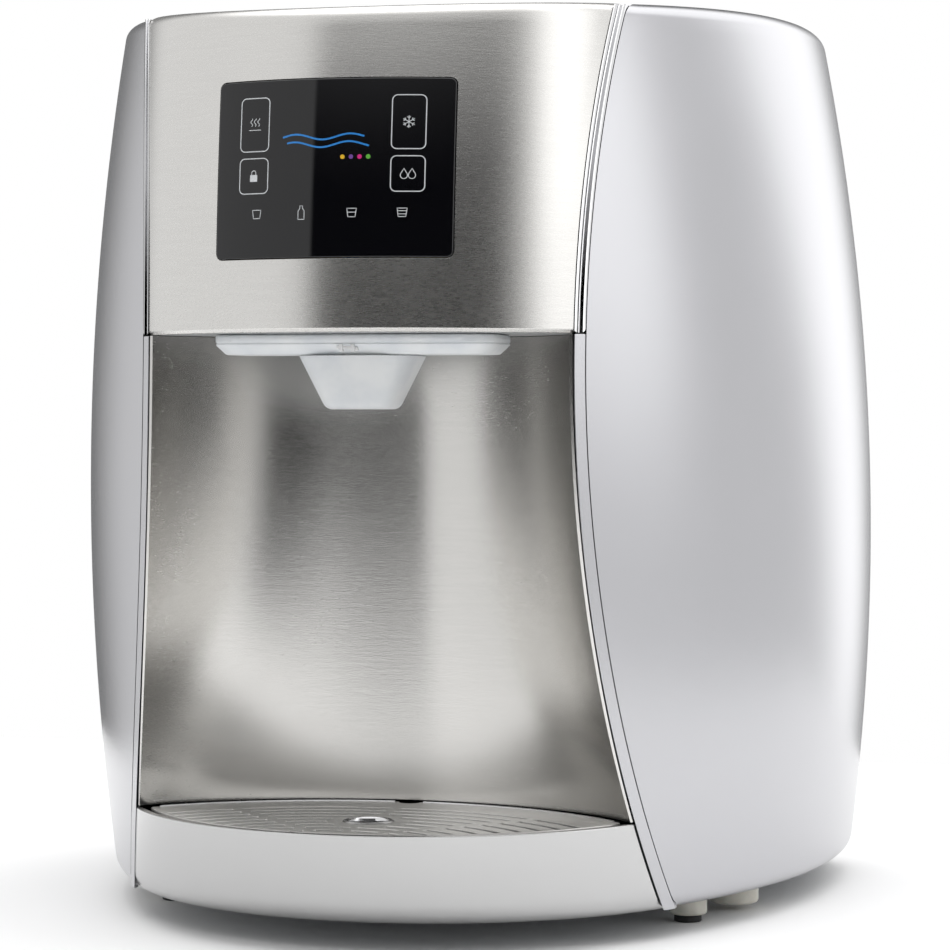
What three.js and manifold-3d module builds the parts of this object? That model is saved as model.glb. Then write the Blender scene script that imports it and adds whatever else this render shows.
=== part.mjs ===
// Countertop water dispenser: a squat barrel-shaped housing with a dispensing niche in front,
// a touch display above it, a drip tray below it, and the tanks, compressor, fan, filter and
// valves that it needs inside. Millimetres, +Z up, front towards -Y, origin on the worktop
// below the middle of the housing. While the parts are being made, y is counted from the
// foremost point of the two front seams, and the group is moved back to the middle at the end.

import * as THREE from 'three';
import { mergeVertices } from 'three/addons/utils/BufferGeometryUtils.js';
import Module from 'manifold-3d';

const wasm = await Module();
wasm.setup();

// ---------------------------------------------------------------- housing sizes
const TOP_Z = 414;                // height of the dome over the worktop
const TOP_RADIUS = 2400;          // front-to-back curve of the dome
const BASE_Z = 13.2;              // lower edge of the housing over the worktop
const BELLY_HALF_WIDTH = 187.3;   // half the width at the widest height
const BELLY_Z = 175.5;            // the widest height
const BARREL_RADIUS = 1220;       // upright curve of the sides
const SIDE_RADIUS = 330;          // plan curve of the sides
const SEAM_WAIST_Y = 3.8;         // the front seams at their waist
const LEAN = 0.037;               // how far the widest line comes forward per mm of height
const BACK_Y = 335;               // flat rear face
const CORNER_RADIUS = 55;         // rounded rear corners
const REAR_RETURN = 8;            // flat part of each side shell on the rear face
const SHELL_WALL = 3;
const BOTTOM_ROUND = 7;
const TOP_ROUND = 6;
const TOP_FLANGE = 14;            // how far the side shells reach in over the top
const GAP = 0.3;                  // between pieces that touch
const SLIDE_GAP = 0.8;            // around pieces that slide out

// ---------------------------------------------------------------- front sizes
const SEAM_WAIST = 96.8;          // half the distance between the front seams at their waist
const SEAM_WAIST_Z = 255.5;
const SEAM_RADIUS = 1050;         // the seams bow outwards above and below the waist
const TRIM_WIDTH = 4;
const HEAD_TRIM_DEPTH = 13;
const EDGE_STRIP_DEPTH = 5;
const TRIM_PROUD = 0.5;
const HEAD_FULLNESS = 1.085;      // plan curve of the head panel over the seams' half width
const HEAD_BOTTOM_Z = 264.3;
const HEAD_FLANGE = 6;
const HEAD_ROUND = 4;
const HEM = 1.5;
const TOP_COVER_WALL = 3;
const PANEL_WALL = 2.5;
const UNDERSIDE_THICKNESS = 2;
const NICHE_BACK_Y = 86;          // deepest line of the niche wall
const NICHE_WALL = 1.2;
const NICHE_SETBACK = 2;

// ---------------------------------------------------------------- display sizes
const GLASS_HALF_WIDTH = 51.5;
const GLASS_BOTTOM_Z = 295;
const GLASS_HEIGHT = 74.5;
const GLASS_CORNER = 2.5;
const GLASS_THICKNESS = 3;
const GLASS_PROUD = 0.6;
const KEY_X = 33.4;
const KEY_ROWS_Z = [329.5, 351];

// ---------------------------------------------------------------- nozzle sizes
const NOZZLE_Y = 10;
const NOZZLE_PLATE_HALF_WIDTH = 62;
const NOZZLE_PLATE_HALF_DEPTH = 24;
const NOZZLE_PLATE_THICKNESS = 7;
const NOZZLE_PLATE_CHAMFER = 4;
const CUP_TOP_HALF_WIDTH = 25.4;
const CUP_TOP_HALF_DEPTH = 22.3;
const CUP_BOTTOM_HALF_WIDTH = 14.7;
const CUP_BOTTOM_HALF_DEPTH = 12.6;
const CUP_HEIGHT = 23;
const CUP_WALL = 1.6;
const SPOUT_X = 12;
const SPOUT_RADIUS = 4;
const SPOUT_BORE = 2.8;
const SPOUT_DROP = 16;

// ---------------------------------------------------------------- drip tray sizes
const TRAY_TOP_Z = 53.5;
const TRAY_BULGE = 65;            // how far the tray front stands in front of its ends
const TRAY_FLARE = 0.12;          // the bulge grows by this per mm towards the worktop
const TRAY_ROUND = 10;
const TRAY_LIP = 5;
const TRAY_WALL = 2.5;
const RESERVOIR_INSET = 30;
const RESERVOIR_WALL = 2;
const GRID_THICKNESS = 1.2;
const GRID_TO_WALL = 2;
const GRID_TIP_INSET = 9.2;       // the grid's tips stop short of the seams
const GRID_TO_FASCIA = 6;
const SLOT_ROWS = 10;
const SLOT_PITCH = 9.35;
const SLOT_WIDTH = 3.7;
const SLOT_TO_WALL = 25.7;        // the wall of the niche to the middle of the first row
const SLOT_MARGIN = 7;
const BRIDGE_WIDTH = 3.4;
const BRIDGE_SLOPE = 0.89;        // the diagonal bridges run out sideways by this per mm back
const BRIDGE_START_Y = -35;
const RING_Y = 17.3;
const RING_RADIUS = 16;
const RING_HOLE_RADIUS = 9.2;
const FLOAT_RADIUS = 6.5;
const FLOAT_HEIGHT = 32;
const NOTCH_RADIUS = 5;

// ---------------------------------------------------------------- feet
const FOOT_RADIUS = 8.75;
const PAD_RADIUS = 6.25;
const PAD_HEIGHT = 3;
const WIDE_FOOT_RADIUS = 11.6;
const FRONT_FOOT = { x: 123, y: 112 };
const WIDE_FOOT = { x: 137, y: 152 };
const REAR_FOOT = { x: 112, y: 298 };
const PAN_THICKNESS = 3;

// ---------------------------------------------------------------- inside sizes
const SHELF_Z = 230;
const SHELF_THICKNESS = 2;
const SHELF = { x: 144, front: 108, back: 292 };
const UPRIGHT = { x: 142, y: 200, width: 44, depth: 14, wall: 2 };
const HEADROOM = 26;              // from the tank tops to the top of the dome
const COLD_TANK = { x: -68, y: 205, radius: 57 };
const JACKET_WALL = 13;
const HOT_TANK = { x: 80, y: 195, radius: 44 };
const COMPRESSOR = { x: -66, y: 232, radius: 52, height: 142 };
const CONDENSER = { x: 62, y: 298, width: 118, depth: 24, height: 126 };
const FAN = { x: 62, y: 262, size: 92, depth: 25, bore: 43, hub: 17, blade: 40 };
const FILTER = { x: 88, y: 142, radius: 26, height: 150 };
const VALVE = { x: 24, y: 22, size: 24, height: 40 };
const TUBE_RADIUS = 4;

// ---------------------------------------------------------------- rear sizes
const REAR_PANEL_WALL = 2.5;
const REAR_FLANGE = 2;            // the pan and the top cover turn this sheet behind the rear panel
const INLET = { x: -50, z: 52, width: 27, height: 20 };
const SWITCHES = { x: -50, z: 92, width: 15, height: 21, pitch: 19 };
const WATER_INLET = { x: 28, z: 46, radius: 8.5, bore: 4, depth: 18 };
const DRAIN = { x: 60, z: 46, radius: 9 };
const CONNECTOR_REACH = 6;
const SCREW_RADIUS = 1.8;
const SCREW_HEAD = 3.6;
const SCREW_INSET = 10;
const VENT = { columns: 2, rows: 8, width: 62, height: 4, pitch: 9, low: 120 };

// ---------------------------------------------------------------- materials
const paint = (color, roughness, metalness) =>
  new THREE.MeshStandardMaterial({ color, roughness, metalness });
const SATIN = paint(0xc9c8cc, 0.38, 0.6);
const BRUSHED = paint(0xb9b6b0, 0.35, 0.9);
const CHROME = paint(0xe4e4e6, 0.12, 1);
const BLACK_GLASS = paint(0x0a0b0d, 0.08, 0);
const MILKY = paint(0xe9edee, 0.4, 0);
const GREY_PLASTIC = paint(0x9ea0a3, 0.6, 0);
const DARK_PLASTIC = paint(0x26282b, 0.6, 0);
const CREAM = paint(0xd8d5c6, 0.6, 0);
const RUBBER = paint(0x151515, 0.9, 0);
const RED = paint(0xb5261e, 0.4, 0);
const ZINC = paint(0xa8adb0, 0.45, 0.8);
const STEEL = paint(0xc4c6c8, 0.3, 0.9);
const FOAM = paint(0xe6dfc8, 0.95, 0);
const BLACK_PAINT = paint(0x1b1c1e, 0.5, 0.2);
const ALUMINIUM = paint(0xb5b8bb, 0.4, 0.8);
const BOARD = paint(0x1e5c35, 0.5, 0);
const WHITE_PLASTIC = paint(0xe4e6e8, 0.45, 0);
const BRASS = paint(0xb89a55, 0.35, 0.9);
const BLUE_TUBE = paint(0x3c6fae, 0.4, 0);
const RED_TUBE = paint(0xa9503c, 0.4, 0);

// ---------------------------------------------------------------- shape helpers
const dispenser = new THREE.Group();

function add(name, geometry, material) {
  const mesh = new THREE.Mesh(geometry, material);
  mesh.name = name;
  dispenser.add(mesh);
}

function toSolid(geometry) {
  const bare = geometry.clone();
  bare.deleteAttribute('normal');
  bare.deleteAttribute('uv');
  const merged = mergeVertices(bare, 1e-4);
  const vertProperties = Float32Array.from(merged.attributes.position.array);
  const triVerts = Uint32Array.from(merged.index.array);
  return new wasm.Manifold(new wasm.Mesh({ numProp: 3, vertProperties, triVerts }));
}

function toGeometry(solid) {
  const mesh = solid.getMesh();
  const geometry = new THREE.BufferGeometry();
  geometry.setAttribute('position', new THREE.BufferAttribute(mesh.vertProperties, 3));
  geometry.setIndex(new THREE.BufferAttribute(mesh.triVerts, 1));
  geometry.computeVertexNormals();
  return geometry;
}

function cut(geometry, ...tools) {
  let solid = toSolid(geometry);
  for (const tool of tools) solid = solid.subtract(toSolid(tool));
  return toGeometry(solid);
}

function join(...geometries) {
  return toGeometry(geometries.map(toSolid).reduce((sum, solid) => sum.add(solid)));
}

function overlap(first, second) {
  return toGeometry(toSolid(first).intersect(toSolid(second)));
}

function mirrored(geometry) {
  const copy = geometry.clone();
  copy.scale(-1, 1, 1);
  return outwards(copy);
}

// turns the faces round if the closed surface has its inside out
function outwards(geometry) {
  const place = geometry.attributes.position;
  const index = geometry.index.array;
  const corner = (i) => new THREE.Vector3().fromBufferAttribute(place, index[i]);
  let volume = 0;
  for (let i = 0; i < index.length; i += 3) volume += corner(i).dot(corner(i + 1).cross(corner(i + 2)));
  if (volume < 0) {
    for (let i = 0; i < index.length; i += 3) {
      [index[i + 1], index[i + 2]] = [index[i + 2], index[i + 1]];
    }
  }
  geometry.computeVertexNormals();
  return geometry;
}

// a plate with two curved faces: outerAt and innerAt give [x, y, z] at column u and row v
function skin(columns, rows, outerAt, innerAt) {
  const points = [];
  const faces = [];
  for (const surface of [outerAt, innerAt]) {
    for (let v = 0; v <= rows; v += 1) {
      for (let u = 0; u <= columns; u += 1) points.push(...surface(u, v));
    }
  }
  const layer = (columns + 1) * (rows + 1);
  const at = (u, v, side) => side * layer + v * (columns + 1) + u;
  const quad = (a, b, c, d) => faces.push(a, b, c, a, c, d);
  for (let v = 0; v < rows; v += 1) {
    for (let u = 0; u < columns; u += 1) {
      quad(at(u, v, 0), at(u + 1, v, 0), at(u + 1, v + 1, 0), at(u, v + 1, 0));
      quad(at(u, v, 1), at(u, v + 1, 1), at(u + 1, v + 1, 1), at(u + 1, v, 1));
    }
  }
  for (let u = 0; u < columns; u += 1) {
    quad(at(u, 0, 0), at(u, 0, 1), at(u + 1, 0, 1), at(u + 1, 0, 0));
    quad(at(u, rows, 0), at(u + 1, rows, 0), at(u + 1, rows, 1), at(u, rows, 1));
  }
  for (let v = 0; v < rows; v += 1) {
    quad(at(0, v, 0), at(0, v + 1, 0), at(0, v + 1, 1), at(0, v, 1));
    quad(at(columns, v, 0), at(columns, v, 1), at(columns, v + 1, 1), at(columns, v + 1, 0));
  }
  const geometry = new THREE.BufferGeometry();
  geometry.setAttribute('position', new THREE.Float32BufferAttribute(points, 3));
  geometry.setIndex(faces);
  return outwards(geometry);
}

function box(width, depth, height, x, y, z) {
  return new THREE.BoxGeometry(width, depth, height).translate(x, y, z + height / 2);
}

function cylinder(radius, height, x, y, z, segments = 20) {
  const upright = new THREE.CylinderGeometry(radius, radius, height, segments).rotateX(Math.PI / 2);
  return upright.translate(x, y, z + height / 2);
}

// a cylinder that lies along y, from y to y + length
function rod(radius, length, x, y, z, segments = 16) {
  return new THREE.CylinderGeometry(radius, radius, length, segments).translate(x, y + length / 2, z);
}

function slab(points, low, high) {
  const shape = new THREE.Shape(points.map(([x, y]) => new THREE.Vector2(x, y)));
  const settings = { depth: high - low, bevelEnabled: false };
  return new THREE.ExtrudeGeometry(shape, settings).translate(0, 0, low);
}

// an upright outline in x and z, drawn out along y
function wallSlab(shape, front, back) {
  const settings = { depth: back - front, bevelEnabled: false, curveSegments: 3 };
  return new THREE.ExtrudeGeometry(shape, settings).rotateX(Math.PI / 2).translate(0, back, 0);
}

function roundedRectangle(halfWidth, low, high, radius) {
  const shape = new THREE.Shape();
  const x = halfWidth - radius;
  shape.absarc(x, high - radius, radius, 0, Math.PI / 2);
  shape.absarc(-x, high - radius, radius, Math.PI / 2, Math.PI);
  shape.absarc(-x, low + radius, radius, Math.PI, Math.PI * 1.5);
  shape.absarc(x, low + radius, radius, Math.PI * 1.5, Math.PI * 2);
  return shape;
}

// a solid of revolution about an upright axis; the profile is a list of [radius, z]
function turned(profile, x, y, segments = 16) {
  const points = profile.map(([radius, z]) => new THREE.Vector2(radius, z));
  const geometry = new THREE.LatheGeometry(points, segments).rotateX(Math.PI / 2);
  return toGeometry(toSolid(outwards(mergeVertices(stripped(geometry), 1e-4)))).translate(x, y, 0);
}

function stripped(geometry) {
  geometry.deleteAttribute('normal');
  geometry.deleteAttribute('uv');
  return geometry;
}

// a straight-sided solid between two outlines with the same number of [x, y] points
function between(lowOutline, low, highOutline, high) {
  const count = lowOutline.length;
  const outer = (u, v) => [...(v ? highOutline : lowOutline)[u % count], v ? high : low];
  const points = [];
  const faces = [];
  for (let v = 0; v < 2; v += 1) for (let u = 0; u < count; u += 1) points.push(...outer(u, v));
  for (let u = 0; u < count; u += 1) {
    const next = (u + 1) % count;
    faces.push(u, next, count + next, u, count + next, count + u);
  }
  for (let u = 1; u < count - 1; u += 1) {
    faces.push(0, u + 1, u, count, count + u, count + u + 1);
  }
  const geometry = new THREE.BufferGeometry();
  geometry.setAttribute('position', new THREE.Float32BufferAttribute(points, 3));
  geometry.setIndex(faces);
  return outwards(geometry);
}

function tube(points, radius) {
  const path = new THREE.CatmullRomCurve3(points.map((point) => new THREE.Vector3(...point)));
  const section = new THREE.Shape().absarc(0, 0, radius, 0, Math.PI * 2);
  const settings = { extrudePath: path, steps: 10, curveSegments: 4, bevelEnabled: false };
  return new THREE.ExtrudeGeometry(section, settings);
}

// ---------------------------------------------------------------- housing surface
const square = (value) => value * value;

const sideCentreX = (z) => BELLY_HALF_WIDTH - square(z - BELLY_Z) / (2 * BARREL_RADIUS) - SIDE_RADIUS;

// the plan is widest at this y, which puts the seams' waist where it belongs
const waistReach = SEAM_WAIST - sideCentreX(SEAM_WAIST_Z);
const waistY = SEAM_WAIST_Y + Math.sqrt(square(SIDE_RADIUS) - square(waistReach));
const widestY = waistY + LEAN * (SEAM_WAIST_Z - BELLY_Z);

function sideCentre(z) {
  return { x: sideCentreX(z), y: widestY - LEAN * (z - BELLY_Z) };
}

function seamHalfWidth(z) {
  return SEAM_WAIST + square(z - SEAM_WAIST_Z) / (2 * SEAM_RADIUS);
}

const headRadius = HEAD_FULLNESS * seamHalfWidth(TOP_Z);
const gridTipX = seamHalfWidth(TRAY_TOP_Z) - GRID_TIP_INSET;

// y on the front half of the side surface at x
function sideY(x, z, inset = 0) {
  const centre = sideCentre(z);
  return centre.y - Math.sqrt(square(SIDE_RADIUS - inset) - square(x - centre.x));
}

// x on the side surface at y, on its rounded rear corner as well
function sideX(y, z, inset = 0) {
  const centre = sideCentre(z);
  const corner = rearCorner(z);
  if (y <= corner.y + (CORNER_RADIUS - inset) * Math.sin(corner.turn)) {
    return centre.x + Math.sqrt(square(SIDE_RADIUS - inset) - square(y - centre.y));
  }
  return corner.x + Math.sqrt(Math.max(0, square(CORNER_RADIUS - inset) - square(y - corner.y)));
}

function rearCorner(z) {
  const centre = sideCentre(z);
  const reach = SIDE_RADIUS - CORNER_RADIUS;
  const y = BACK_Y - CORNER_RADIUS;
  const turn = Math.asin((y - centre.y) / reach);
  return { x: centre.x + reach * Math.cos(turn), y, turn };
}

const topZ = (y) => TOP_Z - square(y - widestY) / (2 * TOP_RADIUS);
const rearHalfWidth = rearCorner(TOP_Z).x - REAR_RETURN;
const rearFace = BACK_Y - REAR_PANEL_WALL;
const rearTopZ = topZ(BACK_Y) - TOP_ROUND - GAP;

// the rear panel's four screws, the lower two first
function screwSpots() {
  const x = rearHalfWidth - SCREW_INSET;
  const heights = [BASE_Z + SCREW_INSET, rearTopZ - SCREW_INSET];
  return heights.flatMap((z) => [[-x, z], [x, z]]);
}

const screwHole = (x, z) => rod(SCREW_RADIUS + GAP, 20, x, BACK_Y - 15, z, 12);

// ---------------------------------------------------------------- side shells
const SIDE_COLUMNS = 10;
const CORNER_COLUMNS = 4;
const ROUND_ROWS = 2;
const WALL_ROWS = 8;
const SHELL_COLUMNS = SIDE_COLUMNS + CORNER_COLUMNS + 1;
const SHELL_ROWS = ROUND_ROWS + WALL_ROWS + ROUND_ROWS + 1;

function shellPlan(u, z, inset) {
  const centre = sideCentre(z);
  const corner = rearCorner(z);
  if (u <= SIDE_COLUMNS) {
    const radius = SIDE_RADIUS - inset;
    const startX = seamHalfWidth(z) + TRIM_WIDTH / 2 + GAP;
    const start = -Math.acos((startX - centre.x) / radius);
    const angle = start + (corner.turn - start) * (u / SIDE_COLUMNS);
    return [centre.x + radius * Math.cos(angle), centre.y + radius * Math.sin(angle)];
  }
  if (u <= SIDE_COLUMNS + CORNER_COLUMNS) {
    const part = (u - SIDE_COLUMNS) / CORNER_COLUMNS;
    const angle = corner.turn + (Math.PI / 2 - corner.turn) * part;
    const radius = CORNER_RADIUS - inset;
    return [corner.x + radius * Math.cos(angle), corner.y + radius * Math.sin(angle)];
  }
  return [rearHalfWidth + GAP, BACK_Y - inset];
}

// how far row v is set in from the side surface, and its height, where the dome is at y
function shellRow(v, depth, y) {
  const high = topZ(y);
  if (v <= ROUND_ROWS) {
    const angle = (v / ROUND_ROWS) * (Math.PI / 2);
    const radius = BOTTOM_ROUND - depth;
    const inset = depth + radius * (1 - Math.sin(angle));
    return { inset, z: BASE_Z + depth + radius * (1 - Math.cos(angle)) };
  }
  if (v <= ROUND_ROWS + WALL_ROWS) {
    const low = BASE_Z + BOTTOM_ROUND;
    const part = (v - ROUND_ROWS) / WALL_ROWS;
    return { inset: depth, z: low + (high - TOP_ROUND - low) * part };
  }
  if (v <= ROUND_ROWS + WALL_ROWS + ROUND_ROWS) {
    const angle = ((v - ROUND_ROWS - WALL_ROWS) / ROUND_ROWS) * (Math.PI / 2);
    const radius = TOP_ROUND - depth;
    const inset = depth + radius * (1 - Math.cos(angle));
    return { inset, z: high - depth - radius * (1 - Math.sin(angle)) };
  }
  return { inset: TOP_FLANGE, z: high - depth };
}

function shellPoint(u, v, depth) {
  let row = shellRow(v, depth, widestY);
  let place = shellPlan(u, row.z, row.inset);
  for (let pass = 0; pass < 3; pass += 1) {
    row = shellRow(v, depth, place[1]);
    place = shellPlan(u, row.z, row.inset);
  }
  return [...place, row.z];
}

function sideShell() {
  return skin(SHELL_COLUMNS, SHELL_ROWS, (u, v) => shellPoint(u, v, 0), (u, v) => shellPoint(u, v, SHELL_WALL));
}

add('right_side_shell', sideShell(), SATIN);
add('left_side_shell', mirrored(sideShell()), SATIN);

// ---------------------------------------------------------------- front seams
const headTopZ = (y) => topZ(y) - 0.5;

// a strip that fills the seam between two heights
function seamStrip(lowAt, highAt, proud, depth, rows) {
  const at = (u, v, back) => {
    const low = lowAt();
    let z = low;
    let x = 0;
    let y = 0;
    for (let pass = 0; pass < 4; pass += 1) {
      x = seamHalfWidth(z) + (u - 0.5) * TRIM_WIDTH;
      y = sideY(x, z) + back;
      z = low + (highAt(y) - low) * (v / rows);
    }
    return [x, y, z];
  };
  return skin(1, rows, (u, v) => at(u, v, -proud), (u, v) => at(u, v, depth));
}

const headTrim = seamStrip(() => HEAD_BOTTOM_Z, headTopZ, TRIM_PROUD, HEAD_TRIM_DEPTH, 6);
const edgeStrip = seamStrip(() => BASE_Z, () => HEAD_BOTTOM_Z - GAP, 0, EDGE_STRIP_DEPTH, 9);
add('right_head_trim', headTrim, CHROME);
add('left_head_trim', mirrored(headTrim), CHROME);
add('right_edge_strip', edgeStrip, SATIN);
add('left_edge_strip', mirrored(edgeStrip), SATIN);

// ---------------------------------------------------------------- head panel and display
const HEAD_COLUMNS = 14;
const HEAD_WALL_ROWS = 4;
const HEAD_ROUND_ROWS = 2;
const HEAD_ROWS = 1 + HEAD_WALL_ROWS + HEAD_ROUND_ROWS + 1;

function headArc(z) {
  const x = seamHalfWidth(z) - TRIM_WIDTH / 2 - GAP;
  return { x, centre: sideY(x, z) + Math.sqrt(square(headRadius) - square(x)) };
}

function headPlan(part, z, inset) {
  const arc = headArc(z);
  const radius = headRadius - inset;
  const angle = Math.asin(arc.x / radius) * part;
  return [radius * Math.sin(angle), arc.centre - radius * Math.cos(angle)];
}

function headRow(v, depth, y) {
  const high = topZ(y);
  if (v === 0) return { inset: HEM + depth, z: HEAD_BOTTOM_Z };
  if (v <= 1 + HEAD_WALL_ROWS) {
    const low = HEAD_BOTTOM_Z + HEM;
    return { inset: depth, z: low + (high - HEAD_ROUND - low) * ((v - 1) / HEAD_WALL_ROWS) };
  }
  if (v <= 1 + HEAD_WALL_ROWS + HEAD_ROUND_ROWS) {
    const angle = ((v - 1 - HEAD_WALL_ROWS) / HEAD_ROUND_ROWS) * (Math.PI / 2);
    const radius = HEAD_ROUND - depth;
    const inset = depth + radius * (1 - Math.cos(angle));
    return { inset, z: high - depth - radius * (1 - Math.sin(angle)) };
  }
  return { inset: HEAD_FLANGE, z: high - depth };
}

function headPoint(u, v, depth) {
  const part = (2 * u) / HEAD_COLUMNS - 1;
  let row = headRow(v, depth, 0);
  let place = headPlan(part, row.z, row.inset);
  for (let pass = 0; pass < 3; pass += 1) {
    row = headRow(v, depth, place[1]);
    place = headPlan(part, row.z, row.inset);
  }
  return [...place, row.z];
}

const panelBlank = skin(
  HEAD_COLUMNS,
  HEAD_ROWS,
  (u, v) => headPoint(u, v, 0),
  (u, v) => headPoint(u, v, PANEL_WALL),
);
const headFrontY = headPlan(0, HEAD_BOTTOM_Z, 0)[1];
const glassOutline = (margin) => roundedRectangle(
  GLASS_HALF_WIDTH + margin,
  GLASS_BOTTOM_Z - margin,
  GLASS_BOTTOM_Z + GLASS_HEIGHT + margin,
  GLASS_CORNER + margin,
);
const windowCut = wallSlab(glassOutline(GAP), headFrontY - 10, 0);
add('front_panel', cut(panelBlank, windowCut), BRUSHED);

function glassSheet(front, back) {
  const rows = 2;
  const margin = 5;
  const at = (u, v, inset) => {
    const z = GLASS_BOTTOM_Z - margin + (GLASS_HEIGHT + 2 * margin) * (v / rows);
    const arc = headArc(z);
    const radius = headRadius - inset;
    const x = (GLASS_HALF_WIDTH + margin) * ((2 * u) / HEAD_COLUMNS - 1);
    return [x, arc.centre - Math.sqrt(square(radius) - square(x)), z];
  };
  return skin(HEAD_COLUMNS, rows, (u, v) => at(u, v, front), (u, v) => at(u, v, back));
}

const glassBlock = wallSlab(glassOutline(0), headFrontY - 10, 0);
const glassBack = GLASS_THICKNESS - GLASS_PROUD;
add('display_glass', overlap(glassSheet(-GLASS_PROUD, glassBack), glassBlock), BLACK_GLASS);

// the board stands upright behind the glass, and its key springs reach the glass
function touchBoard() {
  const halfWidth = GLASS_HALF_WIDTH - 12;
  const low = GLASS_BOTTOM_Z + 6;
  const high = GLASS_BOTTOM_Z + GLASS_HEIGHT - 6;
  const glassInside = (x, z) => {
    const arc = headArc(z);
    return arc.centre - Math.sqrt(square(headRadius - glassBack) - square(x));
  };
  const front = glassInside(halfWidth, high) + 1.5;
  const pieces = [wallSlab(roundedRectangle(halfWidth, low, high, 2), front, front + 1.6)];
  for (const z of KEY_ROWS_Z) {
    for (const x of [-KEY_X, KEY_X]) {
      const reach = glassInside(Math.abs(x) + 4, z + 3) + GAP;
      pieces.push(rod(3, front + 0.5 - reach, x, reach, z, 12));
    }
  }
  return join(...pieces);
}

add('touch_board', touchBoard(), BOARD);

// ---------------------------------------------------------------- niche wall
function nicheArc(z) {
  const x = seamHalfWidth(z) - TRIM_WIDTH / 2 - 2 * GAP - NICHE_WALL;
  const edge = sideY(x, z) + NICHE_SETBACK;
  const sag = NICHE_BACK_Y - edge;
  const radius = (square(x) + square(sag)) / (2 * sag);
  return { radius, centre: NICHE_BACK_Y - radius, reach: 2 * Math.atan2(sag, x) };
}

function nichePoint(u, v, columns, rows, depth) {
  const low = TRAY_TOP_Z + SLIDE_GAP;
  const high = HEAD_BOTTOM_Z - GAP;
  const z = low + (high - low) * (v / rows);
  const arc = nicheArc(z);
  const angle = arc.reach * ((2 * u) / columns - 1);
  const radius = arc.radius + depth;
  return [radius * Math.sin(angle), arc.centre + radius * Math.cos(angle), z];
}

const NICHE_COLUMNS = 14;
const NICHE_ROWS = 6;
const nicheFace = (depth) => (u, v) => nichePoint(u, v, NICHE_COLUMNS, NICHE_ROWS, depth);
add('niche_wall', skin(NICHE_COLUMNS, NICHE_ROWS, nicheFace(0), nicheFace(NICHE_WALL)), BRUSHED);

// ---------------------------------------------------------------- head underside
// outline between the head panel's arc in front and the niche wall behind
function undersideOutline() {
  const z = HEAD_BOTTOM_Z;
  const arc = headArc(z);
  const front = headRadius - PANEL_WALL - HEM;
  const back = nicheArc(z);
  const backRadius = back.radius + NICHE_WALL;
  const x = seamHalfWidth(z) - TRIM_WIDTH / 2 - NICHE_WALL - 2;
  const steps = 12;
  const points = [];
  for (let i = 0; i <= steps; i += 1) {
    const across = -x + (2 * x * i) / steps;
    points.push([across, arc.centre - Math.sqrt(square(front) - square(across)) + GAP]);
  }
  const reach = Math.asin(x / backRadius);
  for (let i = 0; i <= steps; i += 1) {
    const angle = reach - (2 * reach * i) / steps;
    points.push([backRadius * Math.sin(angle), back.centre + backRadius * Math.cos(angle)]);
  }
  return points;
}

const undersideTopZ = HEAD_BOTTOM_Z + UNDERSIDE_THICKNESS;
const undersideBlank = slab(undersideOutline(), HEAD_BOTTOM_Z, undersideTopZ);
const spoutHoles = [-SPOUT_X, SPOUT_X].map(
  (x) => cylinder(SPOUT_RADIUS + GAP, 20, x, NOZZLE_Y, HEAD_BOTTOM_Z - 10, 16),
);
add('head_underside', cut(undersideBlank, ...spoutHoles), GREY_PLASTIC);

// ---------------------------------------------------------------- nozzle
function plateOutline(inset) {
  const points = [];
  const radius = 12;
  const x = NOZZLE_PLATE_HALF_WIDTH - radius;
  const y = NOZZLE_PLATE_HALF_DEPTH - radius;
  const steps = 4;
  for (const [sx, sy, start] of [[1, 1, 0], [-1, 1, 1], [-1, -1, 2], [1, -1, 3]]) {
    for (let i = 0; i <= steps; i += 1) {
      const angle = (start + i / steps) * (Math.PI / 2);
      const r = radius - inset;
      points.push([sx * x + r * Math.cos(angle), NOZZLE_Y + sy * y + r * Math.sin(angle)]);
    }
  }
  return points;
}

// an eight-sided outline with its long sides along x
function cupOutline(halfWidth, halfDepth) {
  const x = halfWidth * 0.64;
  const y = halfDepth * 0.45;
  return [
    [halfWidth, y], [x, halfDepth], [-x, halfDepth], [-halfWidth, y],
    [-halfWidth, -y], [-x, -halfDepth], [x, -halfDepth], [halfWidth, -y],
  ].map(([px, py]) => [px, py + NOZZLE_Y]);
}

const plateTopZ = HEAD_BOTTOM_Z - GAP;
const plateBottomZ = plateTopZ - NOZZLE_PLATE_THICKNESS - 1.6;
const plateStepZ = plateTopZ - NOZZLE_PLATE_THICKNESS / 2;
const cupTopZ = plateBottomZ - GAP;
const cupBottomZ = cupTopZ - CUP_HEIGHT;
const collarWidth = CUP_TOP_HALF_WIDTH - CUP_WALL - GAP;
const collarDepth = CUP_TOP_HALF_DEPTH - CUP_WALL - GAP;

function nozzlePlate() {
  const upper = between(plateOutline(0), plateStepZ, plateOutline(0), plateTopZ);
  const lower = between(plateOutline(NOZZLE_PLATE_CHAMFER), plateBottomZ, plateOutline(0), plateStepZ);
  const throat = cupOutline(collarWidth - 4, collarDepth - 4);
  const hole = between(throat, plateBottomZ - 5, throat, plateTopZ - 2);
  return cut(join(upper, lower), hole, ...spoutHoles);
}

function nozzleCup() {
  const outer = between(
    cupOutline(CUP_BOTTOM_HALF_WIDTH, CUP_BOTTOM_HALF_DEPTH),
    cupBottomZ,
    cupOutline(CUP_TOP_HALF_WIDTH, CUP_TOP_HALF_DEPTH),
    cupTopZ,
  );
  const inner = between(
    cupOutline(CUP_BOTTOM_HALF_WIDTH - CUP_WALL, CUP_BOTTOM_HALF_DEPTH - CUP_WALL),
    cupBottomZ - GAP,
    cupOutline(CUP_TOP_HALF_WIDTH - CUP_WALL, CUP_TOP_HALF_DEPTH - CUP_WALL),
    cupTopZ + GAP,
  );
  return cut(outer, inner);
}

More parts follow.
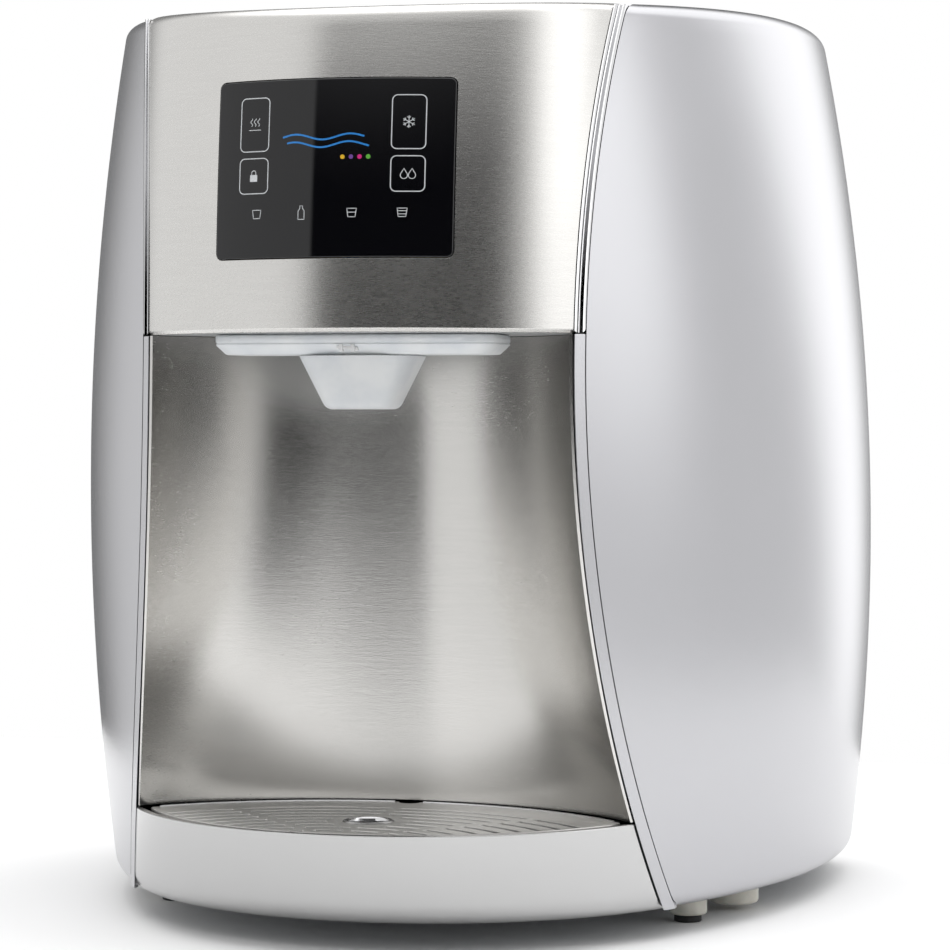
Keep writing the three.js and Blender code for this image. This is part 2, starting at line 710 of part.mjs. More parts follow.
add('nozzle_plate', nozzlePlate(), MILKY);
add('nozzle_cup', nozzleCup(), MILKY);

function spout(x) {
  const low = plateBottomZ - SPOUT_DROP + 8;
  const high = undersideTopZ + 2;
  const outer = cylinder(SPOUT_RADIUS, high - low, x, NOZZLE_Y, low, 20);
  return cut(outer, cylinder(SPOUT_BORE, high - low + 2, x, NOZZLE_Y, low - 1, 20));
}

add('hot_spout', spout(SPOUT_X), STEEL);
add('cold_spout', spout(-SPOUT_X), STEEL);

// ---------------------------------------------------------------- drip tray
function trayArc(z) {
  const x = seamHalfWidth(z) - TRIM_WIDTH / 2 - SLIDE_GAP;
  const edge = sideY(x, z);
  const bulge = TRAY_BULGE + TRAY_FLARE * (TRAY_TOP_Z - z);
  const radius = (square(x) + square(bulge)) / (2 * bulge);
  return { x, radius, centre: edge - bulge + radius };
}

const TRAY_COLUMNS = 14;
const TRAY_ROUND_ROWS = 3;
const TRAY_WALL_ROWS = 2;
const TRAY_ROWS = TRAY_ROUND_ROWS + TRAY_WALL_ROWS + 1;

// the rounded lower edge and the upper lip move straight back from the curved front
function trayPoint(u, v, depth) {
  let back = 0;
  let z = TRAY_TOP_Z - depth;
  if (v <= TRAY_ROUND_ROWS) {
    const turn = (v / TRAY_ROUND_ROWS) * (Math.PI / 2);
    const round = TRAY_ROUND - depth;
    back = round * (1 - Math.sin(turn));
    z = BASE_Z + depth + round * (1 - Math.cos(turn));
  } else if (v < TRAY_ROWS) {
    const low = BASE_Z + TRAY_ROUND;
    z = low + (TRAY_TOP_Z - depth - low) * ((v - TRAY_ROUND_ROWS) / TRAY_WALL_ROWS);
  } else {
    back = TRAY_LIP - depth;
  }
  const arc = trayArc(z);
  const radius = arc.radius - depth;
  const angle = Math.asin(arc.x / radius) * ((2 * u) / TRAY_COLUMNS - 1);
  return [radius * Math.sin(angle), arc.centre - radius * Math.cos(angle) + back, z];
}

add(
  'tray_fascia',
  skin(TRAY_COLUMNS, TRAY_ROWS, (u, v) => trayPoint(u, v, 0), (u, v) => trayPoint(u, v, TRAY_WALL)),
  SATIN,
);

// a lens between the tray front and the niche wall, cut off square at its two tips
function lensOutline(frontInset, backInset, tip, steps) {
  const front = trayArc(TRAY_TOP_Z);
  const back = nicheArc(TRAY_TOP_Z);
  const frontRadius = front.radius - frontInset;
  const backRadius = back.radius - backInset;
  const points = [];
  for (let i = 0; i <= steps; i += 1) {
    const x = -tip + (2 * tip * i) / steps;
    points.push([x, front.centre - Math.sqrt(square(frontRadius) - square(x))]);
  }
  for (let i = 0; i <= steps; i += 1) {
    const x = tip - (2 * tip * i) / steps;
    points.push([x, back.centre + Math.sqrt(square(backRadius) - square(x))]);
  }
  return points;
}

const panTopZ = BASE_Z + PAN_THICKNESS;
const reservoirTip = gridTipX - 27;
const gridUnderZ = TRAY_TOP_Z - GRID_THICKNESS;

function reservoir() {
  const low = panTopZ + GAP;
  const high = gridUnderZ - GAP;
  const tub = slab(lensOutline(RESERVOIR_INSET, GRID_TO_WALL, reservoirTip, 12), low, high);
  const inside = lensOutline(
    RESERVOIR_INSET + RESERVOIR_WALL,
    GRID_TO_WALL + RESERVOIR_WALL,
    reservoirTip - RESERVOIR_WALL,
    12,
  );
  const guide = cut(
    cylinder(FLOAT_RADIUS + SLIDE_GAP + 1.6, 12, 0, RING_Y, low + 1, 20),
    cylinder(FLOAT_RADIUS + SLIDE_GAP, 20, 0, RING_Y, low, 20),
  );
  return join(cut(tub, slab(inside, low + RESERVOIR_WALL, high + 1)), guide);
}

add('tray_reservoir', reservoir(), GREY_PLASTIC);

// slots follow the niche wall in rows; two diagonals and the middle keep bridges
function slotCutters() {
  const front = trayArc(TRAY_TOP_Z);
  const back = nicheArc(TRAY_TOP_Z);
  const cutters = [];
  const half = SLOT_WIDTH / 2;
  for (let row = 0; row < SLOT_ROWS; row += 1) {
    const radius = back.radius - SLOT_TO_WALL - SLOT_PITCH * row;
    const spots = [];
    const limit = front.radius - SLOT_MARGIN;
    const allowed = (angle) => {
      const x = radius * Math.sin(angle);
      const y = back.centre + radius * Math.cos(angle);
      const bridge = Math.abs(Math.abs(x) - BRIDGE_SLOPE * (y - BRIDGE_START_Y));
      return Math.hypot(x, y - front.centre) < limit
        && Math.abs(x) < gridTipX - 4
        && bridge > BRIDGE_WIDTH / 2 + half / 2
        && Math.abs(x) > BRIDGE_WIDTH / 2
        && Math.hypot(x, y - RING_Y) > RING_RADIUS + half;
    };
    const step = 0.5 / radius;
    for (let angle = -1.2; angle < 1.2; angle += step) if (allowed(angle)) spots.push(angle);
    let start = 0;
    for (let i = 1; i <= spots.length; i += 1) {
      if (i === spots.length || spots[i] - spots[i - 1] > step * 1.5) {
        const slot = slotCutter(back.centre, radius, spots[start], spots[i - 1]);
        if ((spots[i - 1] - spots[start]) * radius > SLOT_WIDTH) cutters.push(slot);
        start = i;
      }
    }
  }
  return cutters;
}

function slotCutter(centre, radius, from, to) {
  const half = SLOT_WIDTH / 2;
  const steps = Math.max(1, Math.ceil(((to - from) * radius) / 15));
  const points = [];
  for (const [side, order] of [[1, 1], [-1, -1]]) {
    for (let i = 0; i <= steps; i += 1) {
      const part = order > 0 ? i / steps : 1 - i / steps;
      const angle = from + (to - from) * part;
      const r = radius + side * half;
      points.push([r * Math.sin(angle), centre + r * Math.cos(angle)]);
    }
  }
  return slab(points, gridUnderZ - 2, TRAY_TOP_Z + 2);
}

function dripGrid() {
  const outline = lensOutline(GRID_TO_FASCIA, GRID_TO_WALL, gridTipX, 20);
  const blank = slab(outline, gridUnderZ, TRAY_TOP_Z);
  const ringHole = cylinder(RING_HOLE_RADIUS, 10, 0, RING_Y, gridUnderZ - 4);
  const notch = cylinder(NOTCH_RADIUS, 10, 0, NICHE_BACK_Y - GRID_TO_WALL, gridUnderZ - 4, 20);
  return cut(blank, ringHole, notch, ...slotCutters());
}

add('drip_grid', dripGrid(), BRUSHED);

function overflowFloat() {
  const low = panTopZ + GAP + RESERVOIR_WALL + GAP;
  const high = low + FLOAT_HEIGHT;
  return turned([
    [0, low], [FLOAT_RADIUS, low], [FLOAT_RADIUS, low + 10], [2, low + 12], [2, high - 3],
    [FLOAT_RADIUS - 1, high - 3], [FLOAT_RADIUS - 1, high - 1], [FLOAT_RADIUS - 2.5, high], [0, high],
  ], 0, RING_Y, 20);
}

add('overflow_float', overflowFloat(), RED);

// ---------------------------------------------------------------- base pan and feet
function panOutline() {
  const z = BASE_Z;
  const inset = BOTTOM_ROUND + 3 * GAP;
  const arc = trayArc(z);
  const setback = TRAY_ROUND + TRAY_WALL + 2;
  const half = [];
  const steps = 8;
  const reach = Math.asin(arc.x / arc.radius);
  for (let i = 0; i <= steps; i += 1) {
    const angle = (reach * i) / steps;
    half.push([arc.radius * Math.sin(angle), arc.centre - arc.radius * Math.cos(angle) + setback]);
  }
  const startY = Math.max(sideY(seamHalfWidth(z) + 8, z, inset), half[steps][1] + 1);
  const endY = BACK_Y - BOTTOM_ROUND - 3 * GAP;
  const sideSteps = 14;
  for (let i = 0; i <= sideSteps; i += 1) {
    const y = startY + (endY - startY) * Math.sin((i / sideSteps) * (Math.PI / 2));
    half.push([sideX(y, z, inset), y]);
  }
  const other = half.slice(1).reverse().map(([x, y]) => [-x, y]);
  return [...half, ...other];
}

// the pan's rear edge reaches the rear panel and turns up behind it to take two screws
function basePan() {
  const width = 2 * (rearHalfWidth - 3);
  const tongue = box(width, 24, PAN_THICKNESS, 0, rearFace - GAP - 12, BASE_Z);
  const flange = box(width, REAR_FLANGE, 18, 0, rearFace - GAP - REAR_FLANGE / 2, BASE_Z);
  const holes = screwSpots().slice(0, 2).map(([x, z]) => screwHole(x, z));
  return cut(join(slab(panOutline(), BASE_Z, panTopZ), tongue, flange), ...holes);
}

add('base_pan', basePan(), ZINC);

function foot(radius, low) {
  const high = BASE_Z - GAP;
  return [[0, low], [radius - 1.5, low], [radius, low + 1.5], [radius, high], [0, high]];
}

const pad = [[0, 0], [PAD_RADIUS - 0.6, 0], [PAD_RADIUS, 0.6], [PAD_RADIUS, PAD_HEIGHT], [0, PAD_HEIGHT]];
for (const [side, sign] of [['left', -1], ['right', 1]]) {
  for (const [end, spot] of [['front', FRONT_FOOT], ['rear', REAR_FOOT]]) {
    const x = sign * spot.x;
    add(`${side}_${end}_foot`, turned(foot(FOOT_RADIUS, PAD_HEIGHT + GAP), x, spot.y), CREAM);
    add(`${side}_${end}_foot_pad`, turned(pad, x, spot.y, 24), RUBBER);
  }
  const wide = turned(foot(WIDE_FOOT_RADIUS, PAD_HEIGHT), sign * WIDE_FOOT.x, WIDE_FOOT.y);
  add(`${side}_support_foot`, wide, CREAM);
}

// ---------------------------------------------------------------- top cover
function topCover() {
  const rows = 28;
  const flangeGap = TOP_FLANGE + 4 * GAP;
  const arc = headArc(TOP_Z - TOP_ROUND);
  const frontRadius = headRadius - HEAD_FLANGE - GAP - 0.6;
  const frontY = arc.centre - frontRadius + 0.5;
  const backY = BACK_Y - TOP_FLANGE - GAP;
  const at = (u, v, depth) => {
    const y = frontY + (backY - frontY) * (1 - Math.cos((v / rows) * Math.PI)) / 2;
    const z = topZ(y) - 0.4;
    const headHalf = Math.sqrt(Math.max(0, square(frontRadius) - square(arc.centre - y)));
    const shellStart = seamHalfWidth(z) + TRIM_WIDTH / 2 + GAP;
    const openFront = y < sideY(shellStart, z, flangeGap) + 4;
    const sideHalf = openFront ? shellStart - GAP : sideX(y, z, flangeGap);
    const trimHalf = seamHalfWidth(z) - TRIM_WIDTH / 2 - 2 * GAP;
    const behindTrim = y > sideY(trimHalf, z) + HEAD_TRIM_DEPTH + GAP;
    const frontHalf = y < arc.centre ? headHalf : Infinity;
    const half = Math.min(frontHalf, sideHalf, behindTrim ? Infinity : trimHalf);
    return [half * (2 * u - 1), y, z - depth];
  };
  return skin(1, rows, (u, v) => at(u, v, 0), (u, v) => at(u, v, TOP_COVER_WALL));
}

// between the side shells the cover rolls over the rear edge and ends in a screw flange
function topCoverTongue() {
  const rollRows = 3;
  const rows = rollRows + 2;
  const startY = BACK_Y - TOP_FLANGE - 6;
  const at = (u, v, depth) => {
    const x = (rearHalfWidth - GAP) * (2 * u - 1);
    if (v === 0) return [x, startY, topZ(startY) - 0.4 - depth];
    if (v > rollRows + 1) return [x, BACK_Y - depth, rearTopZ + 2 * GAP];
    const angle = ((v - 1) / rollRows) * (Math.PI / 2);
    const round = TOP_ROUND - depth;
    const y = BACK_Y - TOP_ROUND + round * Math.sin(angle);
    return [x, y, topZ(BACK_Y) - 0.4 - TOP_ROUND + round * Math.cos(angle)];
  };
  const roll = skin(1, rows, (u, v) => at(u, v, 0), (u, v) => at(u, v, TOP_COVER_WALL));
  const flangeY = rearFace - GAP - REAR_FLANGE / 2;
  const flangeLow = rearTopZ - 2 * SCREW_INSET;
  const flangeHigh = topZ(BACK_Y) - 1.6;
  const flange = box(2 * (rearHalfWidth - 3), REAR_FLANGE, flangeHigh - flangeLow, 0, flangeY, flangeLow);
  const holes = screwSpots().slice(2).map(([x, z]) => screwHole(x, z));
  return cut(join(roll, flange), ...holes);
}

add('top_cover', join(topCover(), topCoverTongue()), GREY_PLASTIC);

// ---------------------------------------------------------------- rear panel
function rearPanel() {
  const shape = roundedRectangle(rearHalfWidth, BASE_Z, rearTopZ, 1);
  const blank = wallSlab(shape, rearFace, BACK_Y);
  const through = (x, z, width, height) => box(width, 10, height, x, BACK_Y, z - height / 2);
  const holes = [through(INLET.x, INLET.z, INLET.width + 2 * GAP, INLET.height + 2 * GAP)];
  const switchWidth = SWITCHES.pitch + SWITCHES.width + 4;
  holes.push(through(SWITCHES.x, SWITCHES.z, switchWidth + 2 * GAP, SWITCHES.height + 4 + 2 * GAP));
  holes.push(rod(WATER_INLET.radius + GAP, 10, WATER_INLET.x, BACK_Y - 5, WATER_INLET.z));
  holes.push(rod(DRAIN.radius + GAP, 10, DRAIN.x, BACK_Y - 5, DRAIN.z));
  for (let column = 0; column < VENT.columns; column += 1) {
    const x = (column - (VENT.columns - 1) / 2) * (VENT.width + 14);
    for (let row = 0; row < VENT.rows; row += 1) {
      holes.push(through(x, VENT.low + row * VENT.pitch, VENT.width, VENT.height));
    }
  }
  for (const [x, z] of screwSpots()) holes.push(screwHole(x, z));
  return cut(blank, ...holes);
}

add('rear_panel', rearPanel(), ZINC);

screwSpots().forEach(([x, z], i) => {
  const head = rod(SCREW_HEAD, 2, x, BACK_Y + GAP, z, 16);
  const slotAcross = box(SCREW_HEAD * 1.3, 1.6, 0.9, x, BACK_Y + GAP + 2, z - 0.45);
  const slotUp = box(0.9, 1.6, SCREW_HEAD * 1.3, x, BACK_Y + GAP + 2, z - SCREW_HEAD * 0.65);
  const shank = rod(SCREW_RADIUS, 10, x, BACK_Y + GAP + 0.5 - 10, z, 12);
  add(`rear_screw_${i + 1}`, cut(join(head, shank), slotAcross, slotUp), STEEL);
});

function mainsInlet() {
  const body = box(INLET.width, 22, INLET.height, INLET.x, BACK_Y - 8, INLET.z - INLET.height / 2);
  const flange = box(INLET.width + 5, 1.5, INLET.height + 5, INLET.x, BACK_Y + GAP + 0.75, INLET.z - INLET.height / 2 - 2.5);
  const socket = box(INLET.width - 4, 16, INLET.height - 5, INLET.x, BACK_Y - 3, INLET.z - INLET.height / 2 + 2.5);
  return cut(join(body, flange), socket);
}

add('mains_inlet', mainsInlet(), DARK_PLASTIC);

function switchHousing() {
  const width = SWITCHES.pitch + SWITCHES.width + 4;
  const height = SWITCHES.height + 4;
  const low = SWITCHES.z - height / 2;
  const body = box(width, 16, height, SWITCHES.x, BACK_Y - 5, low);
  const flange = box(width + 4, 1.2, height + 4, SWITCHES.x, BACK_Y + GAP + 0.6, low - 2);
  const pockets = [-1, 1].map((side) => box(
    SWITCHES.width,
    14,
    SWITCHES.height,
    SWITCHES.x + (side * SWITCHES.pitch) / 2,
    BACK_Y - 3,
    SWITCHES.z - SWITCHES.height / 2,
  ));
  return cut(join(body, flange), ...pockets);
}

add('switch_housing', switchHousing(), DARK_PLASTIC);

// a rocker with a barrel-shaped back, level at rest, turning about x
function rocker(side) {
  const x = SWITCHES.x + (side * SWITCHES.pitch) / 2;
  const width = SWITCHES.width - 1.2;
  const half = SWITCHES.height / 2 - 1;
  const shape = new THREE.Shape();
  shape.moveTo(-6, -1.5);
  shape.lineTo(-3, -half + 1.5);
  shape.lineTo(2.6, -half);
  shape.lineTo(1.6, 0);
  shape.lineTo(2.6, half);
  shape.lineTo(-3, half - 1.5);
  shape.lineTo(-6, 1.5);
  const settings = { depth: width, bevelEnabled: false };
  const geometry = new THREE.ExtrudeGeometry(shape, settings);
  geometry.rotateX(Math.PI / 2).rotateZ(Math.PI / 2);
  const bounds = new THREE.Box3().setFromBufferAttribute(geometry.attributes.position);
  const centre = bounds.getCenter(new THREE.Vector3());
  return geometry.translate(x - centre.x, BACK_Y + 1 - centre.y, SWITCHES.z - centre.z);
}

add('hot_rocker', rocker(1), RED);
add('cold_rocker', rocker(-1), WHITE_PLASTIC);

function waterInlet() {
  const flange = rod(WATER_INLET.radius + 3, 3, WATER_INLET.x, BACK_Y + GAP, WATER_INLET.z);
  const barrel = rod(WATER_INLET.radius, WATER_INLET.depth + CONNECTOR_REACH, WATER_INLET.x, BACK_Y - WATER_INLET.depth, WATER_INLET.z);
  const bore = rod(WATER_INLET.bore, 60, WATER_INLET.x, BACK_Y - 40, WATER_INLET.z, 20);
  return cut(join(flange, barrel), bore);
}

add('water_inlet', waterInlet(), WHITE_PLASTIC);

function drainPlug() {
  const head = rod(DRAIN.radius + 2.5, CONNECTOR_REACH - 1, DRAIN.x, BACK_Y + GAP, DRAIN.z, 12);
  return join(head, rod(DRAIN.radius, 16, DRAIN.x, BACK_Y - 15, DRAIN.z));
}

add('drain_plug', drainPlug(), DARK_PLASTIC);

// ---------------------------------------------------------------- chassis
function upright(side) {
  const low = panTopZ + GAP;
  const high = SHELF_Z - GAP;
  const { x, y, width, depth, wall } = UPRIGHT;
  const outer = box(depth, width, high - low, side * (x - depth / 2), y, low);
  const inner = box(depth, width - 2 * wall, high - low + 2, side * (x - depth / 2 - wall), y, low - 1);
  return cut(outer, inner);
}

add('left_upright', upright(-1), ZINC);
add('right_upright', upright(1), ZINC);
add(
  'tank_shelf',
  box(SHELF.x * 2, SHELF.back - SHELF.front, SHELF_THICKNESS, 0, (SHELF.front + SHELF.back) / 2, SHELF_Z),
  ZINC,
);

// ---------------------------------------------------------------- tanks
const shelfTopZ = SHELF_Z + SHELF_THICKNESS;
const tankTopZ = TOP_Z - HEADROOM;

function tank(spec, low) {
  const r = spec.radius;
  return turned([
    [0, low], [r - 8, low], [r, low + 8], [r, tankTopZ - 14], [r - 5, tankTopZ - 5],
    [r - 18, tankTopZ], [0, tankTopZ],
  ], spec.x, spec.y, 24);
}

function jacket() {
  const low = shelfTopZ + GAP;
  const high = tankTopZ - 40;
  const outer = cylinder(COLD_TANK.radius + JACKET_WALL, high - low, COLD_TANK.x, COLD_TANK.y, low, 24);
  const inner = cylinder(COLD_TANK.radius + GAP + 0.3, high, COLD_TANK.x, COLD_TANK.y, low + 10, 24);
  return cut(outer, inner);
}

add('cold_tank_jacket', jacket(), FOAM);
add('cold_tank', tank(COLD_TANK, shelfTopZ + GAP + 10 + GAP), STEEL);
add('hot_tank', tank(HOT_TANK, shelfTopZ + GAP), STEEL);

// ---------------------------------------------------------------- cooling
function compressor() {
  const { x, y, radius, height } = COMPRESSOR;
  const low = panTopZ + GAP;
  const body = turned([
    [0, low], [radius - 6, low], [radius - 6, low + 8], [radius, low + 16], [radius, low + height * 0.55],
    [radius + 2, low + height * 0.57], [radius, low + height * 0.6], [radius - 2, low + height - 24],
    [radius - 14, low + height - 6], [radius - 30, low + height], [0, low + height],
  ], x, y, 24);
  return join(body, box(radius * 2 + 14, 40, 4, x, y, low));
}

add('compressor', compressor(), BLACK_PAINT);

function condenser() {
  const { x, y, width, depth, height } = CONDENSER;
  const low = panTopZ + GAP;
  const grooves = [];
  const count = 13;
  const pitch = (height - 12) / count;
  for (let i = 0; i < count; i += 1) {
    grooves.push(box(width - 8, depth * 0.4, pitch * 0.5, x, y - depth / 2, low + 8 + i * pitch));
  }
  return cut(box(width, depth, height, x, y, low), ...grooves);
}

add('condenser', condenser(), ALUMINIUM);

const fanZ = panTopZ + GAP + CONDENSER.height / 2;
function fanFrame() {
  const { x, y, size, depth, bore, hub } = FAN;
  const low = fanZ - size / 2;
  const frame = cut(box(size, depth, size, x, y, low), rod(bore, depth + 4, x, y - depth / 2 - 2, fanZ, 28));
  const back = y + depth / 2 - 3;
  const motor = rod(hub, 3, x, back, fanZ, 24);
  const arms = [0, 1, 2].map((i) => new THREE.BoxGeometry(4, 3, bore + 1)
    .translate(0, 1.5, bore / 2 + 0.5)
    .rotateY((i * Math.PI * 2) / 3)
    .translate(x, back, fanZ));
  return join(frame, motor, ...arms);
}

function fanRotor() {
  const { x, y, depth, hub, blade } = FAN;
  const blades = 7;
  const hubDepth = depth - 3 - 2 * SLIDE_GAP;
  const front = y - depth / 2 + SLIDE_GAP;
  const pieces = [rod(hub, hubDepth, x, front, fanZ, 28)];
  for (let i = 0; i < blades; i += 1) {
    const vane = new THREE.BoxGeometry(13, 1.8, blade - hub + 3)
      .rotateZ(0.6)
      .translate(0, 0, (blade + hub - 3) / 2)
      .rotateY((i * Math.PI * 2) / blades)
      .translate(x, front + hubDepth / 2, fanZ);
    pieces.push(vane);
  }
  return join(...pieces);
}

add('fan_frame', fanFrame(), DARK_PLASTIC);
add('fan_rotor', fanRotor(), BLACK_PAINT);

// ---------------------------------------------------------------- filter
const filterHeadHeight = 26;
const filterTopZ = SHELF_Z - GAP - filterHeadHeight - GAP;

function filterCartridge() {
  const { x, y, radius, height } = FILTER;
  const low = filterTopZ - height;
  return turned([
    [0, low], [radius - 6, low], [radius, low + 6], [radius, filterTopZ - 22], [radius + 2, filterTopZ - 22],
    [radius + 2, filterTopZ - 8], [radius - 8, filterTopZ], [0, filterTopZ],
  ], x, y, 24);
}

function filterHead() {
  const { x, y, radius } = FILTER;
  const cap = cylinder(radius + 3, filterHeadHeight - 8, x, y, filterTopZ + GAP, 32);
  const bracket = box(radius * 1.4, radius * 1.4, filterHeadHeight, x, y, filterTopZ + GAP);
  return join(cap, bracket);
}

add('filter_cartridge', filterCartridge(), WHITE_PLASTIC);
add('filter_head', filterHead(), DARK_PLASTIC);

// ---------------------------------------------------------------- valves and tubes
const valveLowZ = undersideTopZ + 2 + GAP;

function valve(side) {
  const { x, y, size, height } = VALVE;
  const block = box(size, size, height * 0.5, side * x, y, valveLowZ);
  const coil = cylinder(size * 0.45, height * 0.55, side * x, y, valveLowZ + height * 0.45, 20);
  return join(block, coil);
}

add('hot_valve', valve(1), BRASS);
add('cold_valve', valve(-1), BRASS);

function supplyTube(side, spec) {
  const z = valveLowZ + 9;
  const startY = VALVE.y + VALVE.size / 2 + 3 * GAP;
  const high = tankTopZ - 24;
  const dx = side * VALVE.x - spec.x;
  const dy = NICHE_BACK_Y + 12 - spec.y;
  const away = Math.hypot(dx, dy);
  const reach = spec.radius + GAP + 1.5;
  const end = [spec.x + (dx / away) * reach, spec.y + (dy / away) * reach];
  const nearEnd = [spec.x + (dx / away) * (reach + 16), spec.y + (dy / away) * (reach + 16)];
  return tube([
    [side * VALVE.x, startY, z], [side * VALVE.x, startY + 20, z + 2], [side * VALVE.x, NICHE_BACK_Y - 10, z + 30],
    [nearEnd[0], nearEnd[1], high], [end[0], end[1], high],
  ], TUBE_RADIUS);
}

add('hot_water_tube', supplyTube(1, HOT_TANK), RED_TUBE);
add('cold_water_tube', supplyTube(-1, COLD_TANK), BLUE_TUBE);

// ---------------------------------------------------------------- power board
function powerBoard() {
  const low = shelfTopZ + 24;
  const high = low + 84;
  const front = rearFace - 14;
  const pieces = [wallSlab(roundedRectangle(58, low, high, 2), front, front + 1.8)];
  for (const x of [-52, 52]) {
    for (const z of [low + 6, high - 6]) pieces.push(rod(3, rearFace - GAP - front - 1, x, front + 1, z, 12));
  }
  pieces.push(box(34, 14, 28, -28, front - 6, low + 12));
  pieces.push(box(22, 12, 20, 24, front - 5, low + 44));
  pieces.push(rod(8, 18, 30, front - 17, low + 20, 20));
  return join(...pieces);
}

add('power_board', powerBoard(), BOARD);

// ---------------------------------------------------------------- middle of the housing
const frontY = headPlan(0, HEAD_BOTTOM_Z + HEM, 0)[1];
dispenser.position.y = -(frontY + BACK_Y + CONNECTOR_REACH) / 2;

export default dispenser;
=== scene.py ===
import math

import bmesh
import bpy
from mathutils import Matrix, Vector


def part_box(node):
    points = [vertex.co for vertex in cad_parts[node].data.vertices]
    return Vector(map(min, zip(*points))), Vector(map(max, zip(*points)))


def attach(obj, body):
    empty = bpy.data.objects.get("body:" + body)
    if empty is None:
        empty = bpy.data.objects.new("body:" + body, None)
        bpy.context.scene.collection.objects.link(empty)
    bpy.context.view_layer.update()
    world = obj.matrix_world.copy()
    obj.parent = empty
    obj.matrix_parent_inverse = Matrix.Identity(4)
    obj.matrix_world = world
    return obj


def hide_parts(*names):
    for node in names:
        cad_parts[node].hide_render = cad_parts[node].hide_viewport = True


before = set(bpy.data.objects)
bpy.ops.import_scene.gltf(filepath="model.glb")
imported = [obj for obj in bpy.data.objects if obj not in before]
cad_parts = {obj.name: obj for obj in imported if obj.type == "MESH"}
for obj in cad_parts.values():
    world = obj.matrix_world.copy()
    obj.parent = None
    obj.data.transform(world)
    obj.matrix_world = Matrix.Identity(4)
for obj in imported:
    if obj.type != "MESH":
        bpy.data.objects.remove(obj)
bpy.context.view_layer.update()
scene = bpy.context.scene

# ------------------------------------------------------------------ camera
# A long lens that stands almost level with the nozzle, to the right of the middle, and looks
# back at the dispenser with hardly any tilt.
LENS = 119.4
CAMERA_PLACE = (0.3872, -1.4378, 0.2372)
CAMERA_TURN = math.radians(14.55)
CAMERA_DIP = math.radians(1.41)

camera = bpy.data.objects.new("camera", bpy.data.cameras.new("camera"))
camera.data.lens = LENS
camera.data.sensor_width = 36
camera.data.clip_start = 0.05
camera.data.clip_end = 60
camera.location = CAMERA_PLACE
camera.rotation_euler = (math.pi / 2 - CAMERA_DIP, 0, CAMERA_TURN)
scene.collection.objects.link(camera)
scene.camera = camera
scene.view_settings.view_transform = "Standard"


# ------------------------------------------------------------------ shader sums
# Every finish is written as sums on sockets: a Wire wraps an output socket, and using +, -,
# *, / or < on it adds the Math node. A Finish holds one material and makes its other nodes.
class Wire:
    def __init__(self, tree, socket):
        self.tree = tree
        self.socket = socket

    def sum(self, operation, other=None, third=None, clamp=False, swap=False):
        node = self.tree.nodes.new("ShaderNodeMath")
        node.operation = operation
        node.use_clamp = clamp
        terms = [other, self] if swap else [self, other]
        for i, term in enumerate([*terms, third]):
            if isinstance(term, Wire):
                self.tree.links.new(term.socket, node.inputs[i])
            elif term is not None:
                node.inputs[i].default_value = term
        return Wire(self.tree, node.outputs[0])

    def __add__(self, other):
        return self.sum("ADD", other)

    def __sub__(self, other):
        return self.sum("SUBTRACT", other)

    def __mul__(self, other):
        return self.sum("MULTIPLY", other)

    def __truediv__(self, other):
        return self.sum("DIVIDE", other)

    def __pow__(self, other):
        return self.sum("POWER", other)

    def __lt__(self, other):
        return self.sum("LESS_THAN", other)

    def __gt__(self, other):
        return self.sum("GREATER_THAN", other)

    def __neg__(self):
        return self.sum("MULTIPLY", -1.0)

    def __abs__(self):
        return self.sum("ABSOLUTE")

    def __rsub__(self, other):
        return self.sum("SUBTRACT", other, swap=True)

    def __rtruediv__(self, other):
        return self.sum("DIVIDE", other, swap=True)

    __radd__ = __add__
    __rmul__ = __mul__

    def ramp(self, low, high, start=0.0, end=1.0):
        """start below low, end above high, and a smooth change between them."""
        node = self.tree.nodes.new("ShaderNodeMapRange")
        node.interpolation_type = "SMOOTHSTEP"
        self.tree.links.new(self.socket, node.inputs["Value"])
        for name, value in zip(("From Min", "From Max", "To Min", "To Max"), (low, high, start, end)):
            node.inputs[name].default_value = value
        return Wire(self.tree, node.outputs["Result"])


